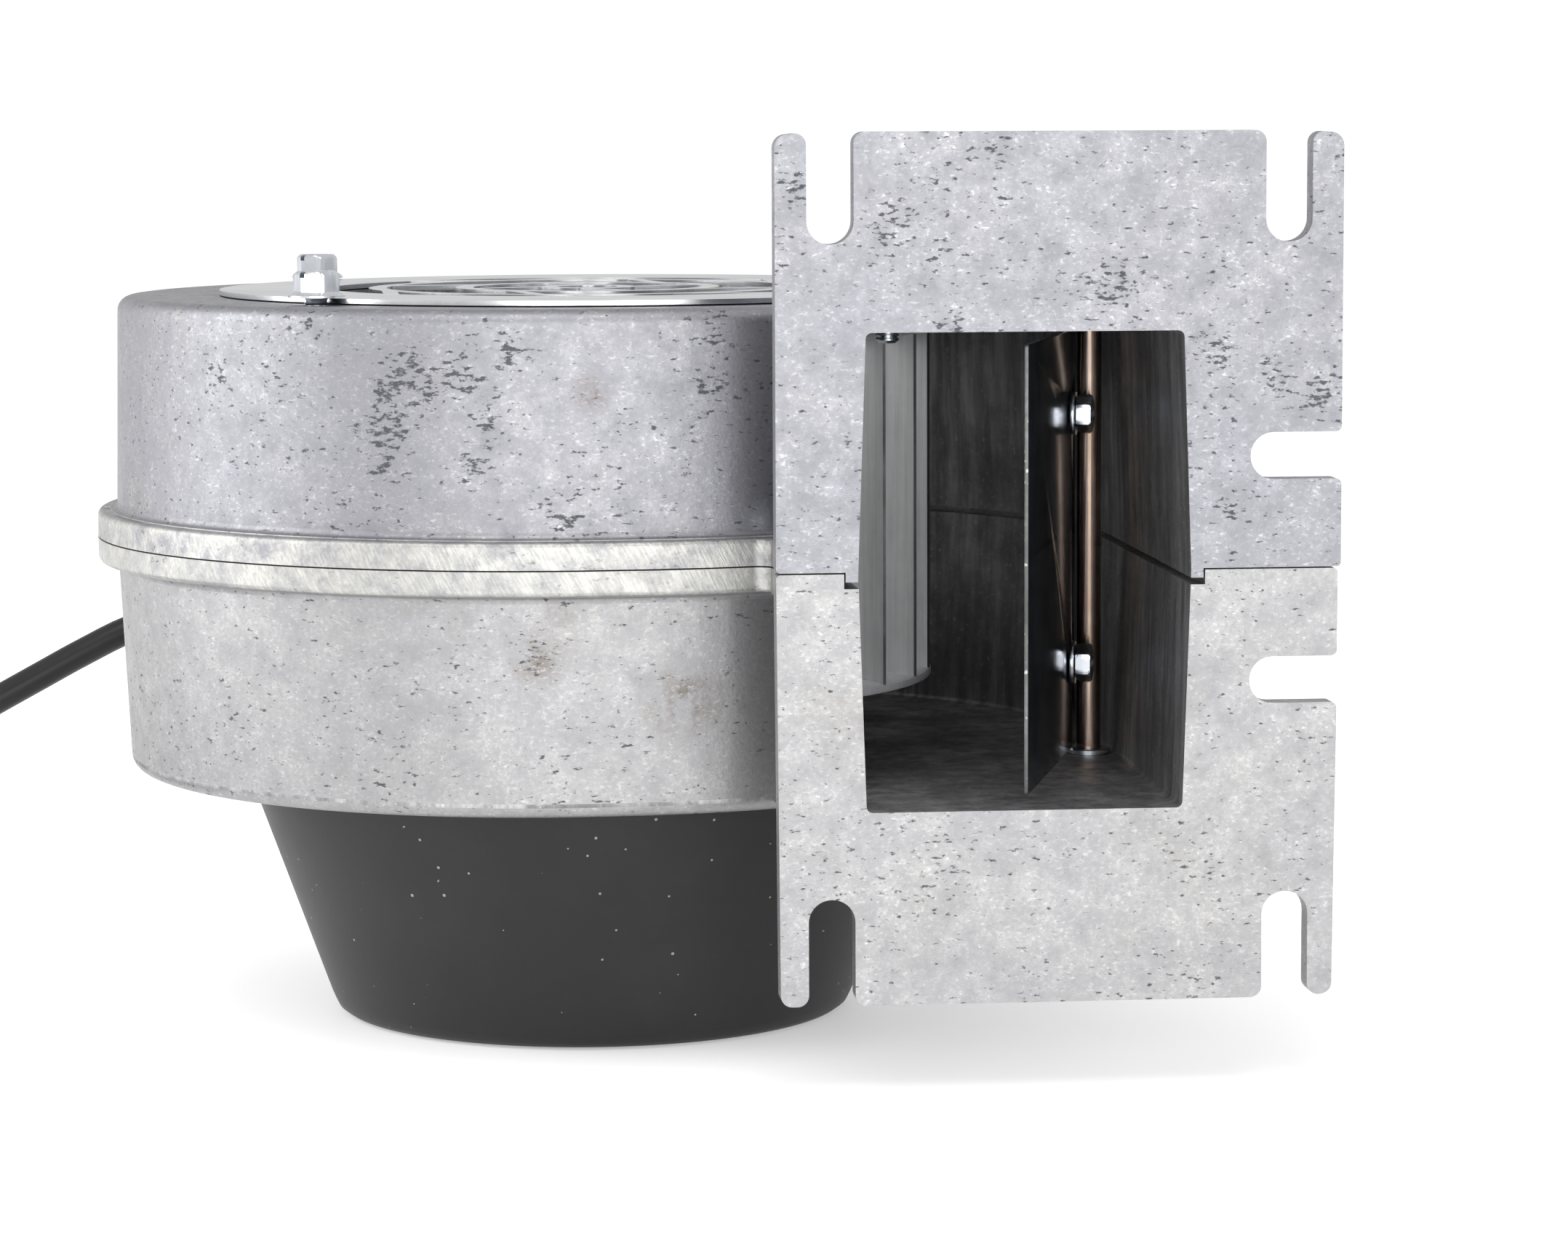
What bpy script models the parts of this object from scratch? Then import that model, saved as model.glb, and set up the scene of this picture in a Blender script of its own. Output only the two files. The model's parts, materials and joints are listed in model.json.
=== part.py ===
"""Combustion fan for a small solid-fuel boiler.

Two die-cast scroll halves with a slotted outlet flange, a drum impeller on a motor under a plastic
cover, a swinging non-return flap in the outlet and a mains lead.  The origin is the shaft axis at the
underside of the motor cover, +Z is up and the air leaves towards -Y.  All sizes are in metres.
"""

import math

import bmesh
import bpy
from mathutils import Vector
from mathutils.geometry import interpolate_bezier

GAP = 0.0003  # clearance between pieces that rest on each other

# Heights
SEAM = 0.101
TOP = 0.1509
CEILING = 0.1467
FLOOR = 0.0549
UNDERSIDE = 0.052

# Scroll, measured on the inner wall at the seam
SCROLL_FRONT_RADIUS = 0.0850
SCROLL_GROWTH = 0.0245
SCROLL_TURN = 270.0
SCROLL_STEPS = 42
DUCT_LEFT = 0.0453
DUCT_RIGHT = SCROLL_FRONT_RADIUS + SCROLL_GROWTH
WALL = 0.0027
CAVITY_DRAFT = 0.0015
UPPER_DRAFT = 0.0009
LOWER_DRAFT = 0.0022
EDGE_ROUND = 0.0030
NOSE_ROUND = 0.0030
INLET_RADIUS = 0.0545

# Rim round the seam
RIM_WIDTH = 0.0040
RIM_RISE = 0.0055
RIM_DROP = 0.0052
RIM_LEFT = 0.0304
TONGUE_WIDTH = 0.0024
TONGUE_DEPTH = 0.0017
LUG_RADIUS = 0.0065
LUG_HOLE_RADIUS = 0.0027
LUGS = ((-0.0620, 0.0935), (0.0724, 0.0916), (0.1195, -0.0350), (0.0366, -0.0893))

# Outlet flange
FLANGE_FACE = -0.1040
FLANGE_THICKNESS = 0.0055
FLANGE_LEFT = 0.0296
FLANGE_RIGHT = 0.1386
FLANGE_TOP = 0.1846
FLANGE_BOTTOM = 0.0175
SLOT_WIDTH = 0.0090
SLOT_LEFT = 0.0401
SLOT_RIGHT = 0.1281
SLOT_MOUTH_ROUND = 0.0022
SLOT_TOP_END = 0.1634
SLOT_BOTTOM_END = 0.0382
SIDE_SLOT_END = 0.1209
SIDE_SLOT_RISE = 0.0216
LOWER_FLANGE_INSET = 0.0006

# Inlet guard
GUARD_RADIUS = 0.0768
GUARD_OPENING = 0.0540
GUARD_THICKNESS = 0.0010
GUARD_RINGS = (0.0458, 0.0277, 0.0100)
GUARD_STRIP = 0.0037
GUARD_ARMS = 4
GUARD_SCREW_CIRCLE = 0.0800
GUARD_SCREW_REACH = 0.0100

# Impeller and shaft
IMPELLER_RADIUS = 0.0720
IMPELLER_INNER_RADIUS = 0.0590
IMPELLER_BOTTOM = 0.0705
IMPELLER_TOP = 0.1445
IMPELLER_SHEET = 0.0016
BLADE_COUNT = 28
BLADE_THICKNESS = 0.0011
BLADE_BEND = 0.0140
HUB_RADIUS = 0.0110
HUB_TOP = 0.0860
SHAFT_RADIUS = 0.0040
SHAFT_BOTTOM = 0.0045
SHAFT_TOP = 0.0880

# Flap
HINGE_X = 0.1026
HINGE_Y = -0.0250
FLAP_REST_ANGLE = math.radians(-16.0)
FLAP_LENGTH = 0.0759
FLAP_THICKNESS = 0.0010
FLAP_CLEARANCE = 0.0018
ROD_RADIUS = 0.0025
FLAP_BOLT_HEIGHTS = (0.1265, 0.0750)
FLAP_BOLT_REACH = -0.0090
WASHER = 0.0009
BUSH_RADIUS = 0.0040
BUSH_FLANGE_RADIUS = 0.0046

# Motor and its cover
COVER_FOOT_RADIUS = 0.0540
COVER_TOP_RADIUS = 0.0725
COVER_WALL = 0.0025
STATOR_RADIUS = 0.0420
STATOR_BORE = 0.0243
SHIELD_RADIUS = 0.0540
MOTOR_BOLT_CIRCLE = 0.0490
COVER_SCREW_CIRCLE = 0.0440
COVER_SCREW_ANGLES = (90.0, 210.0, 330.0)

# Mains lead
CABLE_RADIUS = 0.0034
CABLE_EXIT_ANGLE = 100.0
CABLE_EXIT_HEIGHT = 0.0320
GLAND_LENGTH = 0.0340
COIL_CENTRE = (-0.1980, 0.0420)
COIL_MIDDLE_RADIUS = 0.0370
COIL_LIFT = 0.0012
COIL_TURNS_ACROSS = 3
PLUG_HEIGHT = 0.0084
ROUTE_TO_COIL = (
    (-0.0164, 0.0931, 0.0320),
    (-0.0205, 0.1160, 0.0334),
    (-0.0260, 0.1340, 0.0400),
    (-0.0360, 0.1490, 0.0500),
    (-0.0520, 0.1575, 0.0605),
    (-0.0720, 0.1575, 0.0678),
    (-0.0900, 0.1540, 0.0685),
    (-0.1050, 0.1520, 0.0640),
    (-0.1280, 0.1500, 0.0522),
    (-0.1550, 0.1480, 0.0372),
    (-0.1810, 0.1445, 0.0215),
    (-0.2030, 0.1380, 0.0090),
    (-0.2200, 0.1270, 0.0042),
    (-0.2330, 0.1120, 0.0036),
    (-0.2410, 0.0940, 0.0036),
    (-0.2462, 0.0740, 0.0040),
    (-0.2484, 0.0600, 0.0044),
    (-0.2490, 0.0470, 0.0046),
)
ROUTE_TO_PLUG = (
    (-0.2328, 0.0034, 0.0098),
    (-0.2308, -0.0080, 0.0080),
    (-0.2285, -0.0195, 0.0066),
    (-0.2255, -0.0305, 0.0070),
    (-0.2220, -0.0400, PLUG_HEIGHT),
)


def clear_scene():
    """Start from an empty scene."""
    for item in list(bpy.data.objects):
        bpy.data.objects.remove(item)


def finish(name, colour, metallic, roughness):
    """One Principled material."""
    made = bpy.data.materials.new(name)
    made.use_nodes = True
    shader = made.node_tree.nodes["Principled BSDF"]
    shader.inputs["Base Color"].default_value = (*colour, 1.0)
    shader.inputs["Metallic"].default_value = metallic
    shader.inputs["Roughness"].default_value = roughness
    return made


def place(name, bm, colour, metallic=1.0, roughness=0.4):
    """Turn a finished bmesh into an object with its own material."""
    bmesh.ops.remove_doubles(bm, verts=bm.verts, dist=1e-6)
    bmesh.ops.recalc_face_normals(bm, faces=bm.faces)
    mesh = bpy.data.meshes.new(name)
    bm.to_mesh(mesh)
    bm.free()
    mesh.shade_smooth()
    mesh.set_sharp_from_angle(angle=math.radians(35.0))
    mesh.materials.append(finish(name + "_finish", colour, metallic, roughness))
    item = bpy.data.objects.new(name, mesh)
    bpy.context.scene.collection.objects.link(item)
    return item


def loft(levels):
    """A closed body through outlines of one point count, each at its own height."""
    bm = bmesh.new()
    rings = []
    for height, outline in levels:
        rings.append([bm.verts.new((x, y, height)) for x, y in outline])
    count = len(rings[0])
    for low, high in zip(rings, rings[1:]):
        for i in range(count):
            j = (i + 1) % count
            bm.faces.new((low[i], low[j], high[j], high[i]))
    bm.faces.new(rings[0])
    bm.faces.new(rings[-1])
    return bm


def turned(profile, steps=32):
    """A body of revolution about Z from (radius, height) points; an open profile ends on the axis."""
    bm = bmesh.new()
    verts = [bm.verts.new((radius, 0.0, height)) for radius, height in profile]
    pairs = list(zip(verts, verts[1:]))
    if profile[0][0] > 0.0:
        pairs.append((verts[-1], verts[0]))
    edges = [bm.edges.new(pair) for pair in pairs]
    bmesh.ops.spin(bm, geom=verts + edges, axis=(0, 0, 1), cent=(0, 0, 0), angle=math.tau, steps=steps)
    bmesh.ops.remove_doubles(bm, verts=bm.verts, dist=1e-6)
    return bm


def circle(radius, count=12, centre=(0.0, 0.0)):
    """Points of a circle, counter-clockwise."""
    turns = [math.tau * i / count for i in range(count)]
    return [(centre[0] + radius * math.cos(a), centre[1] + radius * math.sin(a)) for a in turns]


def hexagon(across, count=12):
    """A hexagon of the given width across flats, with as many points as a circle."""
    points = []
    for i in range(count):
        angle = math.tau * i / count
        reach = across / 2 / math.cos(angle % math.radians(60) - math.radians(30))
        points.append((reach * math.cos(angle), reach * math.sin(angle)))
    return points


def ring_profile(inner, outer, low, high):
    """The square section of a plain ring."""
    return ((inner, low), (outer, low), (outer, high), (inner, high))


def combine(target, tool, operation):
    """Join a tool to a target, or cut it away, with a live Boolean; the tool stays as a guide."""
    step = target.modifiers.new(tool.name, "BOOLEAN")
    step.operation = operation
    step.solver = "EXACT"
    step.object = tool
    tool.hide_render = True
    tool.display_type = "WIRE"


def tool_from(bm, name):
    return place(name, bm, (0.5, 0.5, 0.5))


def post(name, radius, low, high, centre, steps=20):
    """A round tool standing at a centre."""
    outline = circle(radius, steps, centre)
    return tool_from(loft([(low, outline), (high, outline)]), name)


def scroll_radius(turn):
    """Inner wall radius after a turn in degrees, clockwise from the front."""
    left = 1.0 - max(turn, 0.0) / SCROLL_TURN
    return DUCT_RIGHT - SCROLL_GROWTH * max(left, 0.0) ** 1.5


def scroll_outline(grow, nose, front, left=None):
    """Scroll and duct as one outline, offset outwards by grow.

    nose rounds the corner between the scroll and the duct's left side, and front is the Y of the open end.
    """
    side = DUCT_LEFT - grow if left is None else left
    base = SCROLL_FRONT_RADIUS + grow
    bend_x = side - nose
    bend_y = -math.sqrt((base + nose) ** 2 - bend_x**2)
    meet = math.degrees(math.atan2(bend_y, bend_x))
    points = [(side, front)]
    bend_steps = 5
    for i in range(bend_steps + 1):
        angle = math.radians((meet + 180.0) * i / bend_steps)
        points.append((bend_x + nose * math.cos(angle), bend_y + nose * math.sin(angle)))
    for i in range(1, SCROLL_STEPS + 1):
        turn = -90.0 - meet + (SCROLL_TURN + 90.0 + meet) * i / SCROLL_STEPS
        radius = scroll_radius(turn) + grow
        angle = math.radians(-90.0 - turn)
        points.append((radius * math.cos(angle), radius * math.sin(angle)))
    points.append((DUCT_RIGHT + grow, front))
    return points


def rounded(corners, steps=4):
    """An outline through (x, z, radius) corners, each replaced by an arc."""
    points = []
    count = len(corners)
    for i, (x, z, radius) in enumerate(corners):
        here = Vector((x, z))
        back = (Vector(corners[i - 1][:2]) - here).normalized()
        ahead = (Vector(corners[(i + 1) % count][:2]) - here).normalized()
        if radius == 0.0:
            points.append(tuple(here))
            continue
        half = back.angle(ahead) / 2
        centre = here + (back + ahead).normalized() * radius / math.sin(half)
        start = here + back * radius / math.tan(half) - centre
        end = here + ahead * radius / math.tan(half) - centre
        sweep = start.angle_signed(end)
        for k in range(steps + 1):
            angle = -sweep * k / steps
            cos, sin = math.cos(angle), math.sin(angle)
            turned_start = (start.x * cos - start.y * sin, start.x * sin + start.y * cos)
            points.append((centre.x + turned_start[0], centre.y + turned_start[1]))
    return points


def flange_plate(corners, name):
    """A flange half, its outline given in X and Z, set between the flange's two faces."""
    bm = bmesh.new()
    outline = rounded(corners)
    front = [bm.verts.new((x, FLANGE_FACE, z)) for x, z in outline]
    back = [bm.verts.new((x, FLANGE_FACE + FLANGE_THICKNESS, z)) for x, z in outline]
    count = len(outline)
    for i in range(count):
        j = (i + 1) % count
        bm.faces.new((front[i], front[j], back[j], back[i]))
    bm.faces.new(front)
    bm.faces.new(back)
    return tool_from(bm, name)


def edge_slot(x, mouth, end):
    """Corners of an open slot that runs along Z from the mouth to its round end."""
    half = SLOT_WIDTH / 2
    return (
        (x - half, mouth, SLOT_MOUTH_ROUND),
        (x - half, end, half * 0.98),
        (x + half, end, half * 0.98),
        (x + half, mouth, SLOT_MOUTH_ROUND),
    )


def side_slot(z, mouth, end):
    """Corners of the slot in the flange's right edge, from top to bottom."""
    half = SLOT_WIDTH / 2
    return (
        (mouth, z + half, 0.0012),
        (end, z + half, half * 0.98),
        (end, z - half, half * 0.98),
        (mouth, z - half, 0.0012),
    )


def upper_flange():
    low = SEAM + GAP / 2
    prong_top = FLANGE_TOP - 0.0007
    tip = 0.0026
    return (
        (FLANGE_LEFT, low, 0.0008),
        (FLANGE_LEFT, prong_top, tip),
        *edge_slot(SLOT_LEFT, FLANGE_TOP, SLOT_TOP_END),
        *edge_slot(SLOT_RIGHT, FLANGE_TOP, SLOT_TOP_END),
        (FLANGE_RIGHT, prong_top, tip),
        *side_slot(SEAM + SIDE_SLOT_RISE, FLANGE_RIGHT, SIDE_SLOT_END),
        (FLANGE_RIGHT, low, 0.0008),
    )


def lower_flange():
    high = SEAM - GAP / 2
    right = FLANGE_RIGHT - LOWER_FLANGE_INSET
    tip = 0.0022
    slots = [*edge_slot(SLOT_RIGHT, FLANGE_BOTTOM, SLOT_BOTTOM_END)][::-1]
    slots += [*edge_slot(SLOT_LEFT, FLANGE_BOTTOM, SLOT_BOTTOM_END)][::-1]
    return (
        (FLANGE_LEFT, high, 0.0008),
        (right, high, 0.0008),
        *side_slot(SEAM - SIDE_SLOT_RISE, right, SIDE_SLOT_END),
        (right - LOWER_FLANGE_INSET, FLANGE_BOTTOM + 0.0007, tip),
        *slots,
        (FLANGE_LEFT + LOWER_FLANGE_INSET, FLANGE_BOTTOM, tip),
    )


def shell_half(name, side, far, cavity_end, draft, plate):
    """One scroll half; side is 1 for the upper half and -1 for the lower one."""
    seam = SEAM + side * GAP / 2
    inside_flange = FLANGE_FACE + FLANGE_THICKNESS / 2
    beyond_flange = FLANGE_FACE - 0.010

    def body_outline(inset):
        return scroll_outline(WALL - inset, NOSE_ROUND, inside_flange)

    def rim_outline(inset):
        return scroll_outline(WALL + RIM_WIDTH - inset, NOSE_ROUND, inside_flange, RIM_LEFT + inset)

    def cavity_outline(inset):
        return scroll_outline(-inset, NOSE_ROUND + inset, beyond_flange)

    levels = [
        (seam, body_outline(0.0)),
        (far - side * EDGE_ROUND, body_outline(draft)),
        (far - side * EDGE_ROUND * 0.30, body_outline(draft + EDGE_ROUND * 0.30)),
        (far, body_outline(draft + EDGE_ROUND)),
    ]
    shell = place(name, loft(levels), (0.52, 0.53, 0.56), 0.9, 0.45)

    rise = RIM_RISE if side > 0 else RIM_DROP
    rim = [
        (seam, rim_outline(0.0)),
        (SEAM + side * (rise - 0.0008), rim_outline(0.0002)),
        (SEAM + side * rise, rim_outline(0.0012)),
    ]
    combine(shell, tool_from(loft(rim), name + "_rim"), "UNION")
    combine(shell, flange_plate(plate, name + "_flange"), "UNION")
    for number, centre in enumerate(LUGS, 1):
        lug = post(f"{name}_lug_{number}", LUG_RADIUS, seam, SEAM + side * rise, centre)
        combine(shell, lug, "UNION")

    if side > 0:
        inner = scroll_outline(-0.0005, NOSE_ROUND, FLANGE_FACE + 0.0001)
        outer = scroll_outline(TONGUE_WIDTH, NOSE_ROUND, FLANGE_FACE + 0.0001)
        band = inner + outer[::-1]
        tongue = loft([(SEAM - TONGUE_DEPTH, band), (SEAM + 0.001, band)])
        combine(shell, tool_from(tongue, name + "_tongue"), "UNION")
    else:
        rebate = scroll_outline(TONGUE_WIDTH + GAP, NOSE_ROUND, beyond_flange)
        room = loft([(SEAM - TONGUE_DEPTH - GAP, rebate), (SEAM + 0.005, rebate)])
        combine(shell, tool_from(room, name + "_rebate"), "DIFFERENCE")

    corner = 0.0012
    cavity = [
        (SEAM - side * 0.004, cavity_outline(0.0)),
        (seam, cavity_outline(0.0)),
        (cavity_end - side * corner, cavity_outline(CAVITY_DRAFT - corner * 0.3)),
        (cavity_end, cavity_outline(CAVITY_DRAFT + corner * 0.7)),
    ]
    combine(shell, tool_from(loft(cavity), name + "_cavity"), "DIFFERENCE")
    for number, centre in enumerate(LUGS, 1):
        hole = post(f"{name}_lug_hole_{number}", LUG_HOLE_RADIUS, SEAM - 0.02, SEAM + 0.02, centre, 12)
        combine(shell, hole, "DIFFERENCE")
    hinge = (HINGE_X, HINGE_Y)
    bush_hole = post(name + "_bush_hole", BUSH_RADIUS + GAP, cavity_end - 0.01, cavity_end + 0.01, hinge)
    combine(shell, bush_hole, "DIFFERENCE")
    return shell


def around(count, radius, first=45.0):
    """Places on a circle about the shaft axis, with their angles."""
    for i in range(count):
        angle = math.radians(first + 360.0 * i / count)
        yield i + 1, (radius * math.cos(angle), radius * math.sin(angle))


def make_upper_shell():
    shell = shell_half("upper_shell", 1, TOP, CEILING, UPPER_DRAFT, upper_flange())
    inlet = post("inlet_cut", INLET_RADIUS, CEILING - 0.01, TOP + 0.01, (0.0, 0.0), 48)
    combine(shell, inlet, "DIFFERENCE")
    for number, centre in around(4, GUARD_SCREW_CIRCLE):
        hole = post(f"guard_screw_hole_{number}", 0.0028, CEILING - 0.01, TOP + 0.01, centre, 12)
        combine(shell, hole, "DIFFERENCE")


def make_lower_shell():
    shell = shell_half("lower_shell", -1, UNDERSIDE, FLOOR, LOWER_DRAFT, lower_flange())
    for number, centre in around(4, MOTOR_BOLT_CIRCLE):
        boss = post(f"motor_boss_{number}", 0.0055, FLOOR - 0.001, 0.0610, centre, 16)
        combine(shell, boss, "UNION")
    for number, centre in around(4, MOTOR_BOLT_CIRCLE):
        hole = post(f"motor_boss_hole_{number}", 0.0024, 0.0400, 0.0590, centre, 12)
        combine(shell, hole, "DIFFERENCE")
    combine(shell, post("shaft_cut", 0.0120, 0.0400, 0.0700, (0.0, 0.0), 24), "DIFFERENCE")


def screw(name, head_across, head_height, flange_radius, shank_radius, shank_length):
    """A hexagon flange screw pointing down, its seat at local height 0."""
    flange = 0.0011
    levels = [
        (-shank_length, circle(shank_radius)),
        (0.0, circle(shank_radius)),
        (0.0, circle(flange_radius)),
        (flange, circle(flange_radius)),
        (flange, hexagon(head_across)),
        (head_height, hexagon(head_across)),
    ]
    return place(name, loft(levels), (0.72, 0.74, 0.76), 1.0, 0.25)


def guard_arm(inner, outer, first):
    """A slanted arm of the guard's swirl from one ring to the next."""
    low = TOP + GAP
    lead = math.radians(24.0)
    half = GUARD_STRIP * 0.42
    start = Vector((inner * math.cos(first), inner * math.sin(first)))
    end = Vector((outer * math.cos(first + lead), outer * math.sin(first + lead)))
    across = (end - start).normalized().orthogonal() * half
    outline = [tuple(p) for p in (start - across, end - across, end + across, start + across)]
    return loft([(low, outline), (low + GUARD_THICKNESS, outline)])


def make_guard():
    low = TOP + GAP
    high = low + GUARD_THICKNESS
    plate = turned(ring_profile(GUARD_OPENING, GUARD_RADIUS, low, high), 44)
    guard = place("inlet_guard", plate, (0.80, 0.81, 0.82), 1.0, 0.22)
    edges = (GUARD_OPENING + GUARD_STRIP / 2, *GUARD_RINGS)
    for number, radius in enumerate(GUARD_RINGS, 1):
        ring = turned(ring_profile(radius - GUARD_STRIP, radius, low, high), 24)
        combine(guard, tool_from(ring, f"guard_ring_{number}"), "UNION")
    for gap, (outside, inside) in enumerate(zip(edges, edges[1:])):
        inner = inside - GUARD_STRIP / 2
        outer = outside if gap == 0 else outside - GUARD_STRIP / 2
        for arm in range(GUARD_ARMS):
            first = math.radians(18.0 + 32.0 * gap + 360.0 * arm / GUARD_ARMS)
            bar = tool_from(guard_arm(inner, outer, first), f"guard_arm_{gap}_{arm}")
            combine(guard, bar, "UNION")
    for number, centre in around(4, GUARD_SCREW_CIRCLE):
        made = screw(f"guard_screw_{number}", 0.0080, 0.0052, 0.0056, 0.0024, GUARD_SCREW_REACH)
        made.location = (*centre, high + GAP)


def make_shell_screws():
    for number, (x, y) in enumerate(LUGS, 1):
        made = screw(f"shell_screw_{number}", 0.0070, 0.0046, 0.0054, 0.0023, 0.0150)
        made.location = (x, y, SEAM + RIM_RISE + GAP)


def blade_outline(first):
    """A forward-curved blade seen from above: it leaves the inner edge and bends clockwise."""
    inner = Vector((IMPELLER_INNER_RADIUS, 0.0))
    centre = inner + Vector((0.0, -BLADE_BEND))
    reach = IMPELLER_RADIUS - 0.0003
    span = math.acos((IMPELLER_INNER_RADIUS**2 + 2 * BLADE_BEND**2 - reach**2)
                     / (2 * BLADE_BEND * math.hypot(IMPELLER_INNER_RADIUS, BLADE_BEND)))
    span -= math.atan2(IMPELLER_INNER_RADIUS, BLADE_BEND)
    steps = 4
    outer_side = []
    inner_side = []
    for i in range(steps + 1):
        angle = math.radians(90.0) - abs(span) * i / steps
        ray = Vector((math.cos(angle), math.sin(angle)))
        outer_side.append(centre + ray * BLADE_BEND)
        inner_side.append(centre + ray * (BLADE_BEND - BLADE_THICKNESS))
    points = outer_side + inner_side[::-1]
    cos, sin = math.cos(first), math.sin(first)
    return [(p.x * cos - p.y * sin, p.x * sin + p.y * cos) for p in points]


def make_impeller(axis):
    low, high = IMPELLER_BOTTOM, IMPELLER_TOP
    disc = ring_profile(HUB_RADIUS * 0.6, IMPELLER_RADIUS, low, low + IMPELLER_SHEET)
    wheel = place("impeller", turned(disc, 42), (0.78, 0.79, 0.80), 1.0, 0.28)
    blades = bmesh.new()
    for number in range(BLADE_COUNT):
        outline = blade_outline(math.tau * number / BLADE_COUNT)
        blade = loft([(low + IMPELLER_SHEET / 2, outline), (high - IMPELLER_SHEET / 2, outline)])
        mesh = bpy.data.meshes.new("blade")
        blade.to_mesh(mesh)
        blade.free()
        blades.from_mesh(mesh)
    combine(wheel, tool_from(blades, "blades"), "UNION")
    rim = ring_profile(IMPELLER_INNER_RADIUS - 0.001, IMPELLER_RADIUS, high - IMPELLER_SHEET, high)
    combine(wheel, tool_from(turned(rim, 42), "impeller_top_ring"), "UNION")
    wheel.parent = axis

    seat = low + IMPELLER_SHEET + GAP
    hub_profile = (
        (SHAFT_RADIUS + GAP / 2, seat),
        (HUB_RADIUS * 1.7, seat),
        (HUB_RADIUS * 1.7, seat + 0.0025),
        (HUB_RADIUS, seat + 0.0035),
        (HUB_RADIUS, HUB_TOP - 0.001),
        (HUB_RADIUS - 0.001, HUB_TOP),
        (SHAFT_RADIUS + GAP / 2, HUB_TOP),
    )
    hub = place("impeller_hub", turned(hub_profile, 20), (0.70, 0.71, 0.72), 1.0, 0.35)
    hub.parent = axis


def make_shaft_and_rotor(axis):
    shaft = (
        (0.0, SHAFT_BOTTOM),
        (SHAFT_RADIUS, SHAFT_BOTTOM),
        (SHAFT_RADIUS, SHAFT_TOP),
        (0.0, SHAFT_TOP),
    )
    pieces = [place("motor_shaft", turned(shaft, 20), (0.62, 0.63, 0.65), 1.0, 0.25)]
    core = ring_profile(SHAFT_RADIUS + GAP / 2, STATOR_BORE - 0.0005, 0.0180, 0.0385)
    pieces.append(place("rotor_core", turned(core, 24), (0.42, 0.42, 0.44), 1.0, 0.5))
    boss = ring_profile(SHAFT_RADIUS + GAP / 2, 0.0090, 0.0048, 0.0086)
    fan = place("cooling_fan", turned(boss, 20), (0.05, 0.05, 0.055), 0.0, 0.5)
    for number in range(8):
        angle = math.tau * number / 8
        across = Vector((-math.sin(angle), math.cos(angle))) * 0.0008
        out = Vector((math.cos(angle), math.sin(angle)))
        root, tip = out * 0.0080, out * 0.0330
        corners = (root - across, tip - across, tip + across, root + across)
        outline = [tuple(corner) for corner in corners]
        vane = loft([(0.0050, outline), (0.0084, outline)])
        combine(fan, tool_from(vane, f"fan_vane_{number}"), "UNION")
    pieces.append(fan)
    for piece in pieces:
        piece.parent = axis


def make_motor():
    """Stator, windings, bearings and end shields, all held to the lower shell."""
    steel = (0.45, 0.45, 0.47)
    copper = (0.72, 0.36, 0.16)
    core = turned(ring_profile(STATOR_BORE, STATOR_RADIUS, 0.0185, 0.0380), 28)
    place("stator_core", core, steel, 1.0, 0.5)
    for name, low, high in (("winding_upper", 0.0383, 0.0438), ("winding_lower", 0.0137, 0.0182)):
        section = (
            (0.0262, low),
            (0.0380, low),
            (0.0390, (low + high) / 2),
            (0.0380, high),
            (0.0262, high),
        )
        place(name, turned(section, 24), copper, 0.8, 0.4)
    shields = (("upper_end_shield", 0.0441, 0.0495), ("lower_end_shield", 0.0092, 0.0134))
    for name, low, high in shields:
        disc = turned(ring_profile(0.0098, SHIELD_RADIUS - 0.0010, low, high), 28)
        shield = place(name, disc, (0.60, 0.61, 0.63), 1.0, 0.45)
        for number, centre in around(4, MOTOR_BOLT_CIRCLE):
            hole = post(f"{name}_bolt_hole_{number}", 0.0023, low - 0.005, high + 0.005, centre, 12)
            combine(shield, hole, "DIFFERENCE")
        bearing = ring_profile(SHAFT_RADIUS + GAP / 2, 0.0095, low + 0.0003, high - 0.0003)
        place(name.replace("end_shield", "bearing"), turned(bearing, 20), (0.68, 0.69, 0.7), 1.0, 0.3)
    sheet = turned(ring_profile(0.0140, 0.0600, 0.0498, UNDERSIDE - GAP), 28)
    gasket = place("heat_gasket", sheet, (0.75, 0.73, 0.68), 0.0, 0.9)
    for number, centre in around(4, MOTOR_BOLT_CIRCLE):
        hole = post(f"gasket_hole_{number}", 0.0024, 0.0450, 0.0600, centre, 12)
        combine(gasket, hole, "DIFFERENCE")
        bolt = screw(f"motor_bolt_{number}", 0.0070, 0.0030, 0.0042, 0.0019, 0.0478)
        bolt.rotation_euler = (math.pi, 0.0, 0.0)
        bolt.location = (*centre, 0.0092 - GAP)
    case = (
        (0.0, 0.0180),
        (0.0058, 0.0180),
        (0.0058, 0.0420),
        (0.0, 0.0420),
    )
    capacitor = place("run_capacitor", turned(case, 16), (0.85, 0.85, 0.83), 0.0, 0.5)
    capacitor.location = (-0.0490, 0.0, 0.0)


def make_terminal_block():
    """Screw terminals beside the cable's entry."""
    angle = math.radians(CABLE_EXIT_ANGLE)
    out = Vector((math.cos(angle), math.sin(angle)))
    across = Vector((-out.y, out.x))
    middle = out * 0.0478
    outline = []
    for a, b in ((-1, -1), (1, -1), (1, 1), (-1, 1)):
        outline.append(tuple(middle + across * 0.0090 * a + out * 0.0042 * b))
    place("terminal_block", loft([(0.0240, outline), (0.0400, outline)]), (0.86, 0.86, 0.82), 0.0, 0.5)


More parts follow.
